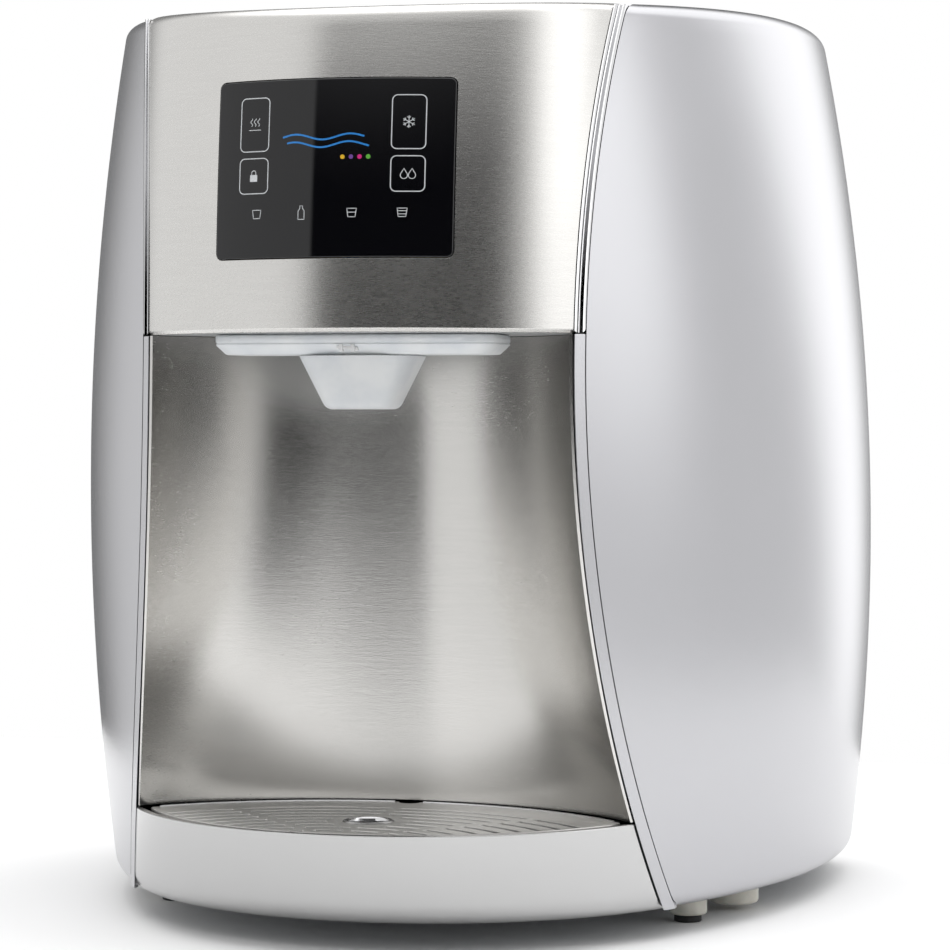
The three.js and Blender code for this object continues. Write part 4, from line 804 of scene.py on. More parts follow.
def frame_path(cx, cz, width, height, corner=2.2, steps=6):
    """An oblong outline with round corners, from the middle of its right side round to the left."""
    path = []
    for sx, sz, start in ((1, 1, 0), (-1, 1, 90), (-1, -1, 180), (1, -1, 270)):
        x, z = cx + sx * (width / 2 - corner), cz + sz * (height / 2 - corner)
        path.extend(arc_path(x, z, corner, start, start + 90, steps))
    return path


def drop_path(cx, cz, size):
    bulb = arc_path(cx, cz - size * 0.2, size * 0.42, -215, 35, 18)
    return [(cx, cz + size * 0.62), *bulb]


def icon_strokes(kind, x, z, s=1.0):
    """Each picture as a list of (path, closed) strokes about its middle."""
    cup = [(x - 2.0, z + 1.7), (x - 1.5, z - 1.8), (x + 1.5, z - 1.8), (x + 2.0, z + 1.7)]
    if kind == "lock":
        body = [(x - 1.6, z - 2.2), (x + 1.6, z - 2.2), (x + 1.6, z + 0.4), (x - 1.6, z + 0.4)]
        arch = [(x - 1.0, z + 0.4), *arc_path(x, z + 1.3, 1.0, 180, 0, 10), (x + 1.0, z + 0.4)]
        return [(body, True), (arch, False)]
    if kind == "steam":
        waves = []
        for i in (-1, 0, 1):
            middle_x = x + i * 1.7 * s
            path = [(middle_x + 0.5 * s * math.sin(t * 1.05), z - 0.6 * s + t * 0.42 * s) for t in range(9)]
            waves.append((path, False))
        waves.append(([(x - 2.9 * s, z - 2.2 * s), (x + 2.9 * s, z - 2.2 * s)], False))
        return waves
    if kind == "snow":
        arms = []
        for i in range(3):
            a = math.radians(30 + 60 * i)
            c, d = math.cos(a) * 2.6 * s, math.sin(a) * 2.6 * s
            arms.append(([(x - c, z - d), (x + c, z + d)], False))
            for sign in (-1, 1):
                hx, hz = x + sign * c * 0.6, z + sign * d * 0.6
                for turn in (-50, 50):
                    b = a + math.radians(turn) + (math.pi if sign < 0 else 0)
                    arms.append(([(hx, hz), (hx + math.cos(b) * 0.9 * s, hz + math.sin(b) * 0.9 * s)], False))
        return arms
    if kind == "drops":
        return [(drop_path(x - 1.5, z, 3.4), True), (drop_path(x + 1.7, z, 3.4), True)]
    if kind == "cup":
        return [(cup, True)]
    if kind == "bottle":
        half = [(0.6, 3.0), (0.6, 1.9), (1.35, 1.0), (1.35, -2.6)]
        bottle = [(x + a, z + b) for a, b in half] + [(x - a, z + b) for a, b in reversed(half)]
        return [(bottle, True)]
    if kind == "level":
        return [(cup, True), ([(x - 1.75, z + 0.1), (x + 1.75, z + 0.1)], False)]
    lines = [([(x - half, z + up), (x + half, z + up)], False) for half, up in ((1.6, -0.7), (1.8, 0.6))]
    return [(cup, True), *lines]


def print_mesh(name, faces, lift=PRINT_LIFT):
    """Flat (x, z) faces laid on the glass, with a thin wall so that each is a closed solid."""
    work = bmesh.new()
    for corners in faces:
        tall = [
            work.verts.new(row_frame((x, head_front_y(x, z, -GLASS_PROUD - lift), z))) for x, z in corners
        ]
        low = [
            work.verts.new(row_frame((x, head_front_y(x, z, -GLASS_PROUD + 0.1), z))) for x, z in corners
        ]
        count = len(corners)
        work.faces.new(tall)
        work.faces.new(list(reversed(low)))
        for i in range(count):
            j = (i + 1) % count
            work.faces.new([tall[j], tall[i], low[i], low[j]])
    bmesh.ops.recalc_face_normals(work, faces=work.faces)
    return made_mesh(work, name)


def printed(name, faces, finish):
    mesh = print_mesh(name, faces)
    mesh.materials.append(finish.material)
    piece = bpy.data.objects.new(name, mesh)
    scene.collection.objects.link(piece)
    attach(piece, "housing")
    return piece


def ink(name, colour, glow=0.0):
    made = Finish(name, roughness=0.35)
    grain = made.noise(1500.0, 2.0)
    dim = tuple(c * 0.88 for c in colour)
    made.set(base_color=made.mix(grain.ramp(0.35, 0.65), dim, colour))
    if glow:
        made.set(emission_color=colour, emission_strength=glow)
    return made


pale_ink = ink("pale_print", (0.62, 0.64, 0.66))
strokes = []
for z, height in ((UPPER_KEY_Z, UPPER_KEY_HEIGHT), (LOWER_KEY_Z, LOWER_KEY_HEIGHT)):
    for x in (-KEY_X, KEY_X):
        strokes += stroke_faces(frame_path(x, z, KEY_WIDTH, height), STROKE, True)
icons = [
    ("steam", -KEY_X, UPPER_KEY_Z),
    ("snow", KEY_X, UPPER_KEY_Z),
    ("lock", -KEY_X, LOWER_KEY_Z),
    ("drops", KEY_X, LOWER_KEY_Z),
]
icons += [(kind, x, LABEL_Z) for kind, x in zip(("cup", "bottle", "level", "jug"), LABEL_X)]
for kind, x, z in icons:
    for path, closed in icon_strokes(kind, x, z):
        strokes += stroke_faces(path, ICON_STROKE, closed)
lock_body = ((-1.5, -2.1), (1.5, -2.1), (1.5, 0.3), (-1.5, 0.3))
strokes.append([(-KEY_X + x, LOWER_KEY_Z + z) for x, z in lock_body])
printed("display_print", strokes, pale_ink)

blue_ink = ink("blue_print", (0.02, 0.22, 0.62))
wave = []
for row, (start, end, lift_z) in enumerate(((-20.0, 15.5, 1.6), (-18.0, 17.5, -1.6))):
    path = [
        (start + (end - start) * t / 40, WAVE_Z + lift_z + 1.15 * math.sin(t / 40 * 3 * math.pi + row * 0.7))
        for t in range(41)
    ]
    wave += stroke_faces(path, WAVE_STROKE, False)
printed("display_wave", wave, blue_ink)
dots = {"yellow": (0.75, 0.45, 0.02), "violet": (0.16, 0.06, 0.30), "pink": (0.65, 0.02, 0.22), "green": (0.12, 0.42, 0.05)}
for i, (word, colour) in enumerate(dots.items()):
    disc = arc_path(6.5 + DOT_PITCH * i, DOT_Z, 0.95, 0, 345, 23)
    printed(f"display_dot_{word}", [disc], ink(f"{word}_print", colour))


# ------------------------------------------------------------------ niche wall
# The wall of the niche is one brushed sheet, bent to a hollow that narrows with the seams and
# tucked behind the strips. A thin painted lip shows at its two upright edges.
TRAY_TOP_Z, SLIDE_GAP, NICHE_BACK_Y, NICHE_WALL, NICHE_SETBACK = 53.5, 0.8, 86.0, 1.2, 2.0
NICHE_COLUMNS, NICHE_ROWS = 72, 48


def niche_arc(z):
    x = seam_half_width(z) - TRIM_WIDTH / 2 - 2 * GAP - NICHE_WALL
    edge = side_y(x, z) + NICHE_SETBACK
    sag = NICHE_BACK_Y - edge
    radius = (x * x + sag * sag) / (2 * sag)
    return radius, NICHE_BACK_Y - radius, 2 * math.atan2(sag, x)


def niche_point(u, v, depth):
    low, high = TRAY_TOP_Z + SLIDE_GAP, HEAD_BOTTOM_Z - GAP
    z = low + (high - low) * v / NICHE_ROWS
    radius, centre, reach = niche_arc(z)
    angle = reach * (2 * u / NICHE_COLUMNS - 1)
    radius += depth
    return radius * math.sin(angle), centre + radius * math.cos(angle), z


niche_metal = brushed_metal("niche_brushed", (0.70, 0.69, 0.67), (0.10, 0.10, 1.0), 0.25, 0.8)
niche_mesh = plate_mesh("niche_wall_sheet", NICHE_COLUMNS, NICHE_ROWS, niche_point, NICHE_WALL)
finished("niche_wall_sheet", niche_mesh, niche_metal, "niche_wall", "brushed_silver")


# ------------------------------------------------------------------ nozzle
# A milky plastic plate clips under the head, with a rounded rim, a rib along its middle and a
# chamfer below. One tapered cup hangs from it round the two steel spouts and pulls off.
NOZZLE_Y = 10.0
PLATE_HALF_WIDTH, PLATE_HALF_DEPTH, PLATE_CHAMFER, PLATE_CORNER = 62.0, 24.0, 4.0, 12.0
plate_low, plate_high = heights("nozzle_plate")
cup_low, cup_high = heights("nozzle_cup")

milky = Finish("milky_plastic", roughness=0.38, IOR=1.49)
cloud = milky.noise(60.0, 3.0)
speckle = milky.noise(900.0, 2.0)
milky.set(base_color=milky.mix(cloud.ramp(0.3, 0.7), (0.70, 0.73, 0.76), (0.80, 0.82, 0.83)))
milky.set(subsurface_weight=0.45, subsurface_scale=0.006, subsurface_radius=(1.0, 1.0, 1.0))
milky.set(roughness=0.34 + cloud * 0.10)
milky.bump(cloud * 0.5 + speckle * 0.5, 0.08, 0.0004)


def rounded_ring(half_width, half_depth, corner):
    return frame_path(0.0, NOZZLE_Y, 2 * half_width, 2 * half_depth, min(corner, half_width, half_depth), 8)


def lofted(name, levels, tube=False):
    """Joins rings of equal length, listed from one end to the other as (z, ring)."""
    return loft_mesh(name, [[(x, y + DRAWN_BACK, z) for x, y in ring] for z, ring in levels], tube)


def plate_ring(inset):
    return rounded_ring(PLATE_HALF_WIDTH - inset, PLATE_HALF_DEPTH - inset, PLATE_CORNER - inset * 0.5)


def throat_ring(grow=0.0):
    return rounded_ring(17.0 + grow, 14.0 + grow, 6.0)


rib_z = (plate_low + plate_high) / 2 + 0.4
plate_levels = [
    (plate_high - 0.4, throat_ring()),
    (plate_high, throat_ring(0.4)),
    (plate_high, plate_ring(0.9)),
    (plate_high - 0.35, plate_ring(0.25)),
    (plate_high - 1.0, plate_ring(0.0)),
    (rib_z + 0.75, plate_ring(0.0)),
    (rib_z + 0.45, plate_ring(0.35)),
    (rib_z - 0.05, plate_ring(0.35)),
    (rib_z - 0.35, plate_ring(0.1)),
    (rib_z - 0.7, plate_ring(0.25)),
    (plate_low + 0.5, plate_ring(PLATE_CHAMFER - 0.45)),
    (plate_low + 0.12, plate_ring(PLATE_CHAMFER + 0.1)),
    (plate_low, plate_ring(PLATE_CHAMFER + 0.9)),
    (plate_low, throat_ring(0.4)),
    (plate_low + 0.4, throat_ring()),
]
nozzle_mesh = lofted("nozzle_plate_milky", plate_levels, tube=True)
finished("nozzle_plate_milky", nozzle_mesh, milky, "nozzle_plate", "milky_plastic", crease=50)


CUP_TOP, CUP_BOTTOM = (25.4, 22.3), (14.7, 12.6)


def cup_ring(part, inset):
    """The cup's outline at a part of its height: rounded, with a flat long front and back."""
    half_width = CUP_BOTTOM[0] + (CUP_TOP[0] - CUP_BOTTOM[0]) * part - inset
    half_depth = CUP_BOTTOM[1] + (CUP_TOP[1] - CUP_BOTTOM[1]) * part - inset
    steep = min(half_width, half_depth) * 0.5
    ring = []
    for sx, sy, start in ((1, 1, 0), (-1, 1, 1), (-1, -1, 2), (1, -1, 3)):
        for i in range(11):
            angle = (start + i / 10) * math.pi / 2
            c, s = math.cos(angle), math.sin(angle)
            soft = 0.62
            px = math.copysign(abs(c) ** soft, c) if abs(c) > 1e-9 else 0.0
            py = math.copysign(abs(s) ** soft, s) if abs(s) > 1e-9 else 0.0
            blend = 0.45
            wide = sx * (half_width - steep) + steep * c
            deep = sy * (half_depth - steep) + steep * s
            ring.append(
                (
                    wide * (1 - blend) + half_width * px * blend,
                    NOZZLE_Y + deep * (1 - blend) + half_depth * py * blend,
                )
            )
    return ring


CUP_WALL, CUP_FOOT = 1.6, 3.0
cup_height = cup_high - cup_low
cup_levels = []
for i in range(7):
    angle = i / 6 * math.pi / 2
    z = cup_low + CUP_FOOT * (1 - math.cos(angle)) * 0.8
    cup_levels.append((z, cup_ring((z - cup_low) / cup_height, CUP_FOOT * (1 - math.sin(angle)) * 0.75)))
for part in spread(0.18, 0.96, 8):
    cup_levels.append((cup_low + cup_height * part, cup_ring(part, 0.0)))
cup_levels += [(cup_high - 0.2, cup_ring(1.0, 0.15)), (cup_high, cup_ring(1.0, 0.5))]
cup_levels += [(cup_high, cup_ring(1.0, CUP_WALL - 0.3)), (cup_high - 0.4, cup_ring(1.0, CUP_WALL))]
cup_levels += [(cup_low + cup_height * part, cup_ring(part, CUP_WALL)) for part in spread(0.9, 0.15, 6)]
cup_levels.append((cup_low + 0.35, cup_ring(0.0, CUP_WALL + 1.2)))
cup_mesh = lofted("nozzle_cup_milky", cup_levels, tube=True)
finished("nozzle_cup_milky", cup_mesh, milky, "nozzle_cup", "milky_plastic", body="cup", crease=60)


# The clip that holds the cup: a small moulded tongue with two snap arms, under the plate rim.
def block_mesh(name, blocks):
    """Several boxes in one mesh, each as (centre x, y, low z, width, depth, height)."""
    work = bmesh.new()
    for x, y, z, width, depth, height in blocks:
        made = bmesh.ops.create_cube(work, size=1.0)["verts"]
        bmesh.ops.scale(work, vec=(width / 1000, depth / 1000, height / 1000), verts=made)
        bmesh.ops.translate(work, vec=row_frame((x, y, z + height / 2)), verts=made)
    return made_mesh(work, name)


clip_y = NOZZLE_Y - PLATE_HALF_DEPTH + 0.1
clip_blocks = [
    (-2.6, clip_y + 1.2, plate_low + 1.2, 1.5, 3.4, 3.2),
    (2.6, clip_y + 1.2, plate_low + 1.2, 1.5, 3.4, 3.2),
    (0.0, clip_y + 1.6, plate_low + 2.2, 4.4, 2.6, 1.4),
    (3.9, clip_y + 1.4, plate_low + 1.6, 1.6, 2.4, 1.6),
    (-3.9, clip_y + 1.4, plate_low + 2.4, 1.6, 2.4, 1.4),
]
clip_white = Finish("clip_white", roughness=0.32)
clip_tone = clip_white.noise(300.0).ramp(0.3, 0.7)
clip_white.set(base_color=clip_white.mix(clip_tone, (0.82, 0.82, 0.82), (0.9, 0.9, 0.9)))
clip_mesh = block_mesh("nozzle_clip", clip_blocks)
finished("nozzle_clip", clip_mesh, clip_white, None, "milky_plastic", bevel=0.35, segments=3)


# ------------------------------------------------------------------ drip tray
# The tray's painted front is one moulding with a rolled lower edge and a narrow lip on top. A
# grey tub hangs behind it, and both slide out together under the niche wall.
TRAY_BULGE, TRAY_FLARE, TRAY_ROUND, TRAY_LIP, TRAY_WALL = 65.0, 0.12, 10.0, 5.0, 2.5
TRAY_COLUMNS, TRAY_ROUND_ROWS, TRAY_WALL_ROWS = 90, 10, 14


def tray_arc(z):
    x = seam_half_width(z) - TRIM_WIDTH / 2 - SLIDE_GAP
    bulge = TRAY_BULGE + TRAY_FLARE * (TRAY_TOP_Z - z)
    radius = (x * x + bulge * bulge) / (2 * bulge)
    return x, radius, side_y(x, z) - bulge + radius


def tray_point(u, v, depth):
    back = 0.0
    z = TRAY_TOP_Z - depth
    if v <= TRAY_ROUND_ROWS:
        turn = v / TRAY_ROUND_ROWS * math.pi / 2
        curl = TRAY_ROUND - depth
        back = curl * (1 - math.sin(turn))
        z = BASE_Z + depth + curl * (1 - math.cos(turn))
    elif v < TRAY_ROUND_ROWS + TRAY_WALL_ROWS + 1:
        low = BASE_Z + TRAY_ROUND
        z = low + (TRAY_TOP_Z - depth - low) * (v - TRAY_ROUND_ROWS) / TRAY_WALL_ROWS
    else:
        back = TRAY_LIP - depth
    x, radius, centre = tray_arc(z)
    radius -= depth
    angle = math.asin(x / radius) * (2 * u / TRAY_COLUMNS - 1)
    return radius * math.sin(angle), centre - radius * math.cos(angle) + back, z


tray_paint = satin_paint("tray_satin", (0.57, 0.57, 0.57))
tray_rows = TRAY_ROUND_ROWS + TRAY_WALL_ROWS + 1
tray_mesh = plate_mesh("tray_fascia_moulding", TRAY_COLUMNS, tray_rows, tray_point, TRAY_WALL)
tray_edge = {"crease": 38, "bevel": 0.45, "segments": 3}
finished("tray_fascia_moulding", tray_mesh, tray_paint, "tray_fascia", "satin_silver", "tray", **tray_edge)


# ------------------------------------------------------------------ drip grid
# A thin brushed plate covers the tub. Rows of narrow slots follow the niche wall, two diagonal
# bridges and a middle one hold it together, and a round hole in the middle shows the float.
GRID_THICKNESS, GRID_TO_WALL, GRID_TIP_INSET, GRID_TO_FASCIA = 1.2, 2.0, 9.2, 6.0
GRID_TIP_X = seam_half_width(TRAY_TOP_Z) - GRID_TIP_INSET
SLOT_ROWS, SLOT_PITCH, SLOT_WIDTH, SLOT_TO_WALL, SLOT_MARGIN = 10, 9.35, 3.7, 25.7, 7.0
BRIDGE_WIDTH, BRIDGE_SLOPE, BRIDGE_START_Y = 3.4, 0.89, -35.0
RING_Y, RING_RADIUS, RING_HOLE_RADIUS, NOTCH_RADIUS = 17.3, 16.0, 9.2, 5.0
wall_radius, wall_centre, _ = niche_arc(TRAY_TOP_Z)
_, front_radius, front_centre = tray_arc(TRAY_TOP_Z)


def lens_outline(front_inset, back_inset, tip, steps, notch=0.0):
    """The space between the tray front and the niche wall, from tip to tip."""
    outline = []
    radius = front_radius - front_inset
    for x in spread(-tip, tip, steps):
        outline.append((x, front_centre - math.sqrt(radius * radius - x * x)))
    radius = wall_radius - back_inset
    rear = []
    for x in spread(tip, -tip, steps):
        if abs(x) > notch:
            rear.append((x, wall_centre + math.sqrt(radius * radius - x * x)))
    if notch:
        middle = len(rear) // 2
        y = NICHE_BACK_Y - back_inset
        bite = [(notch * math.cos(a), y - notch * math.sin(a)) for a in (math.pi * i / 14 for i in range(15))]
        rear[middle:middle] = bite
    return outline + rear


def slot_rows():
    """Each slot as (radius, start angle, end angle) about the niche wall's centre."""
    found = []
    half = SLOT_WIDTH / 2
    for row in range(SLOT_ROWS):
        radius = wall_radius - SLOT_TO_WALL - SLOT_PITCH * row
        step = 0.25 / radius
        run = []
        for i in range(int(2.4 / step)):
            angle = -1.2 + i * step
            x, y = radius * math.sin(angle), wall_centre + radius * math.cos(angle)
            free = (
                math.hypot(x, y - front_centre) < front_radius - SLOT_MARGIN
                and abs(x) < GRID_TIP_X - 4
                and abs(abs(x) - BRIDGE_SLOPE * (y - BRIDGE_START_Y)) > BRIDGE_WIDTH / 2 + half / 2
                and abs(x) > BRIDGE_WIDTH / 2
                and math.hypot(x, y - RING_Y) > RING_RADIUS + half
            )
            if free:
                run.append(angle)
            if run and (not free or i == int(2.4 / step) - 1):
                if (run[-1] - run[0]) * radius > SLOT_WIDTH:
                    found.append((radius, run[0], run[-1]))
                run = []
    return found


def slot_outline(radius, start, end):
    half = SLOT_WIDTH / 2
    steps = max(2, int((end - start) * radius / 4))
    corner = 0.5
    trim = corner / radius
    outline = []
    for r, angles in (
        (radius + half, spread(start + trim, end - trim, steps)),
        (radius + half - corner, [end]),
        (radius - half + corner, [end]),
        (radius - half, spread(end - trim, start + trim, steps)),
        (radius - half + corner, [start]),
        (radius + half - corner, [start]),
    ):
        outline += [(r * math.sin(a), wall_centre + r * math.cos(a)) for a in angles]
    return outline


def pierced_plate(name, outline, holes, low, high, round_edge):
    """A flat plate with holes, from closed outlines, with its edges broken a little."""
    curve = bpy.data.curves.new(name, "CURVE")
    curve.dimensions = "2D"
    curve.fill_mode = "BOTH"
    curve.extrude = (high - low) / 2000 - round_edge / 1000
    curve.bevel_depth = round_edge / 1000
    curve.bevel_resolution = 1
    curve.offset = -round_edge / 1000
    for path in [outline, *holes]:
        spline = curve.splines.new("POLY")
        spline.points.add(len(path) - 1)
        for point, (x, y) in zip(spline.points, path):
            place = row_frame((x, y, 0.0))
            point.co = (place.x, place.y, 0.0, 1.0)
        spline.use_cyclic_u = True
    holder = bpy.data.objects.new(name, curve)
    scene.collection.objects.link(holder)
    bpy.context.view_layer.update()
    mesh = bpy.data.meshes.new_from_object(holder.evaluated_get(bpy.context.evaluated_depsgraph_get()))
    bpy.data.objects.remove(holder)
    bpy.data.curves.remove(curve)
    for vertex in mesh.vertices:
        vertex.co.z += (low + high) / 2000
    mesh.name = name
    return outward(mesh)


ring_hole = circle(0.0, RING_Y, RING_HOLE_RADIUS, 64)
grid_mesh = pierced_plate(
    "drip_grid_plate",
    lens_outline(GRID_TO_FASCIA, GRID_TO_WALL, GRID_TIP_X, 80, NOTCH_RADIUS),
    [ring_hole, *[slot_outline(*slot) for slot in slot_rows()]],
    TRAY_TOP_Z - GRID_THICKNESS,
    TRAY_TOP_Z,
    0.14,
)
grid_metal = brushed_metal("grid_brushed", (0.78, 0.77, 0.75), (0.10, 1.0, 1.0), 0.40, 1.1)
finished("drip_grid_plate", grid_mesh, grid_metal, "drip_grid", "brushed_silver", body="grid", crease=40)


def turned_mesh(name, profile, x, y, segments=64):
    """A closed solid of revolution about an upright axis, from a list of (radius, z)."""
    rings = []
    for radius, z in profile:
        ring = circle(x, y, radius, segments) if radius else [(x, y)]
        rings.append([(px, py + DRAWN_BACK, z) for px, py in ring])
    return loft_mesh(name, rings, ends=False)


# A turned collar lines the grid's hole, and a bright bead stiffens the grid's rear edge.
collar_profile = [
    (RING_HOLE_RADIUS - 0.1, TRAY_TOP_Z - 1.5),
    (RING_HOLE_RADIUS - 0.1, TRAY_TOP_Z + 0.25),
    (RING_HOLE_RADIUS + 0.15, TRAY_TOP_Z + 0.55),
    (RING_HOLE_RADIUS + 1.3, TRAY_TOP_Z + 0.55),
    (RING_HOLE_RADIUS + 2.1, TRAY_TOP_Z + 0.05),
    (RING_HOLE_RADIUS - 0.06, TRAY_TOP_Z + 0.02),
    (RING_HOLE_RADIUS - 0.06, TRAY_TOP_Z - 1.5),
]
collar_chrome = Finish("collar_chrome", base_color=(0.74, 0.74, 0.75), metallic=1.0)
collar_chrome.set(roughness=0.12 + collar_chrome.noise(500.0, 3.0).ramp(0.4, 0.8) * 0.15)
collar = turned_mesh("grid_collar", collar_profile, 0.0, RING_Y)
finished("grid_collar", collar, collar_chrome, None, "brushed_silver", body="grid", crease=45)

bead_radius = wall_radius - GRID_TO_WALL - 0.9
for name, sign in (("left", -1), ("right", 1)):
    rings = []
    for angle in spread(sign * 0.045, sign * 0.78, 60):
        rings.append([])
        for i in range(10):
            turn = 2 * math.pi * i / 10
            r = bead_radius + 0.55 * math.cos(turn)
            y = wall_centre + r * math.cos(angle) + DRAWN_BACK
            rings[-1].append((r * math.sin(angle), y, TRAY_TOP_Z + 0.1 + 0.5 * math.sin(turn)))
    bead = loft_mesh(f"grid_bead_{name}", rings)
    finished(f"grid_bead_{name}", bead, collar_chrome, None, "brushed_silver", body="grid", crease=50)


# ------------------------------------------------------------------ overflow float
# A red moulded float stands in its guide in the tub. Its bright cap shows in the grid's hole
# and rises through it when the tub is full.
float_low, float_high = heights("overflow_float")
float_profile = [
    (0.0, float_low), (5.9, float_low), (6.5, float_low + 0.6), (6.5, float_low + 9.4), (6.0, float_low + 10.2),
    (2.2, float_low + 11.8), (2.0, float_low + 12.4), (2.0, float_high - 3.6), (5.2, float_high - 3.3),
    (5.5, float_high - 2.9), (5.5, float_high - 2.1), (5.2, float_high - 1.8), (0.0, float_high - 1.7),
]
float_red = Finish("float_red", roughness=0.32)
red_tone = float_red.noise(220.0).ramp(0.35, 0.7)
float_red.set(base_color=float_red.mix(red_tone, (0.46, 0.035, 0.022), (0.58, 0.05, 0.03)))
float_mesh = turned_mesh("overflow_float_body", float_profile, 0.0, RING_Y, 48)
finished("overflow_float_body", float_mesh, float_red, "overflow_float", "red_plastic", body="float")
cap_profile = [(0.0, float_high - 1.75), (3.6, float_high - 1.75), (3.5, float_high - 0.9)]
for angle in (math.pi / 2 * i / 7 for i in range(1, 7)):
    cap_profile.append((3.3 * math.cos(angle), float_high - 0.9 + 0.9 * math.sin(angle)))
cap_profile.append((0.0, float_high))
cap_mesh = turned_mesh("overflow_float_cap", cap_profile, 0.0, RING_Y, 48)
finished("overflow_float_cap", cap_mesh, collar_chrome, None, "chrome_trim", body="float", crease=50)


# ------------------------------------------------------------------ feet
# Cream moulded feet screw into the pan. The four corner feet have black rubber pads, and two
# wider ones behind the front pair carry the weight of the compressor.
cream = Finish("foot_cream", subsurface_weight=0.08, subsurface_scale=0.002)
cream_tone = cream.noise(160.0, 3.0)
cream.set(base_color=cream.mix(cream_tone.ramp(0.3, 0.7), (0.62, 0.60, 0.53), (0.70, 0.68, 0.61)))
cream.set(roughness=0.48 + cream_tone * 0.12)
cream.bump(cream.noise(1800.0, 2.0), 0.06, 0.0003)
rubber = Finish("pad_rubber")
rubber_grain = rubber.noise(1400.0, 3.0)
rubber.set(base_color=rubber.mix(rubber_grain, (0.010, 0.010, 0.011), (0.028, 0.028, 0.030)))
rubber.set(roughness=0.62 + rubber_grain * 0.2)
rubber.bump(rubber_grain, 0.25, 0.0004)


def round_block(node, corner, finish, slot_name):
    """A turned block that fills a CAD node's box, with its lower edge rounded."""
    low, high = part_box(node)
    radius = (high.x - low.x) * 500
    x, y = (low.x + high.x) * 500, (low.y + high.y) * 500 - DRAWN_BACK
    bottom, top = low.z * 1000, high.z * 1000
    turns = [math.pi / 2 * i / 6 for i in range(7)]
    arc = [(radius - corner * (1 - math.sin(a)), bottom + corner * (1 - math.cos(a))) for a in turns]
    profile = [(0.0, bottom), *arc, (radius, top - 0.2), (radius - 0.2, top), (0.0, top)]
    foot = turned_mesh(f"{node}_turned", profile, x, y, 56)
    finished(f"{node}_turned", foot, finish, node, slot_name, crease=45)


for side in ("left", "right"):
    for end in ("front", "rear"):
        round_block(f"{side}_{end}_foot", 1.6, cream, "cream_plastic")
        round_block(f"{side}_{end}_foot_pad", 0.6, rubber, "black_rubber")
    round_block(f"{side}_support_foot", 2.0, cream, "cream_plastic")


# ------------------------------------------------------------------ tray tub
# A grey moulded tub hangs behind the tray's front and catches what runs through the grid. Its
# rim and floor corner are rounded, and a short tube on its floor guides the float.
RESERVOIR_INSET, RESERVOIR_WALL, TUB_TIP_INSET = 30.0, 2.0, 27.0


def moulded_plastic(name, tone, rough=0.5, grain=1600.0, clear=0.0):
    """Moulded plastic: a faint cloud in the colour and a fine spark-eroded grain."""
    plastic = Finish(name)
    cloud_tone = plastic.noise(45.0, 3.0)
    fine = plastic.noise(grain, 2.0)
    low_tone = tuple(c * 0.9 for c in tone)
    plastic.set(base_color=plastic.mix(cloud_tone.ramp(0.3, 0.7), low_tone, tone))
    plastic.set(roughness=rough + (fine - 0.5) * 0.14)
    if clear:
        plastic.set(subsurface_weight=clear, subsurface_scale=0.002)
    plastic.bump(fine, 0.16, 0.0003)
    return plastic


grey_plastic = moulded_plastic("grey_plastic", (0.33, 0.34, 0.35))
tub_low, tub_high = heights("tray_reservoir")
tub_tip = GRID_TIP_X - TUB_TIP_INSET


def tub_ring(inset):
    return lens_outline(RESERVOIR_INSET + inset, GRID_TO_WALL + inset, tub_tip - inset, 60)


tub_floor = tub_low + RESERVOIR_WALL
tub_profile = [(tub_low, 1.2), (tub_low + 0.5, 0.35), (tub_low + 1.4, 0.0), (tub_high - 0.5, 0.0), (tub_high, 0.4)]
tub_profile += [(tub_high, RESERVOIR_WALL - 0.4), (tub_high - 0.5, RESERVOIR_WALL), (tub_floor + 2.5, RESERVOIR_WALL)]
tub_profile += [(tub_floor + 0.7, RESERVOIR_WALL + 0.8), (tub_floor, RESERVOIR_WALL + 3.0)]
tub_levels = [(z, tub_ring(inset)) for z, inset in tub_profile]
tub_mesh = lofted("tray_tub", tub_levels)
finished("tray_tub", tub_mesh, grey_plastic, "tray_reservoir", "grey_plastic", body="tray")
guide_profile = [(7.3, tub_low + 2.0), (7.3, tub_low + 12.7), (7.6, tub_low + 13.0), (8.6, tub_low + 13.0)]
guide_profile += [(8.9, tub_low + 12.7), (8.9, tub_low + 3.2), (9.8, tub_low + 2.0), (7.3, tub_low + 2.0)]
guide_mesh = turned_mesh("float_guide", guide_profile, 0.0, RING_Y, 40)
finished("float_guide", guide_mesh, grey_plastic, None, "grey_plastic", body="tray", crease=50)


# ------------------------------------------------------------------ head underside
# A grey tray closes the head from below, inside the turned-in edges of the head panel and the
# niche wall. Two steel spouts come down through it, with a flared mouth each.
def underside_outline():
    x_edge, centre = head_arc(HEAD_BOTTOM_Z)
    front = HEAD_RADIUS - PANEL_WALL - HEM
    radius, back_centre, _ = niche_arc(HEAD_BOTTOM_Z)
    radius += NICHE_WALL
    x_edge = seam_half_width(HEAD_BOTTOM_Z) - TRIM_WIDTH / 2 - NICHE_WALL - 2
    outline = [(x, centre - math.sqrt(front * front - x * x) + GAP) for x in spread(-x_edge, x_edge, 60)]
    reach = math.asin(x_edge / radius)
    arc = spread(reach, -reach, 60)
    return outline + [(radius * math.sin(a), back_centre + radius * math.cos(a)) for a in arc]


SPOUT_X, SPOUT_RADIUS, SPOUT_BORE = 12.0, 4.0, 2.8
under_low, under_high = heights("head_underside")
under_holes = [circle(x, NOZZLE_Y, SPOUT_RADIUS + GAP) for x in (-SPOUT_X, SPOUT_X)]
under_mesh = pierced_plate("head_floor", underside_outline(), under_holes, under_low, under_high, 0.2)
finished("head_floor", under_mesh, grey_plastic, "head_underside", "grey_plastic", crease=40)

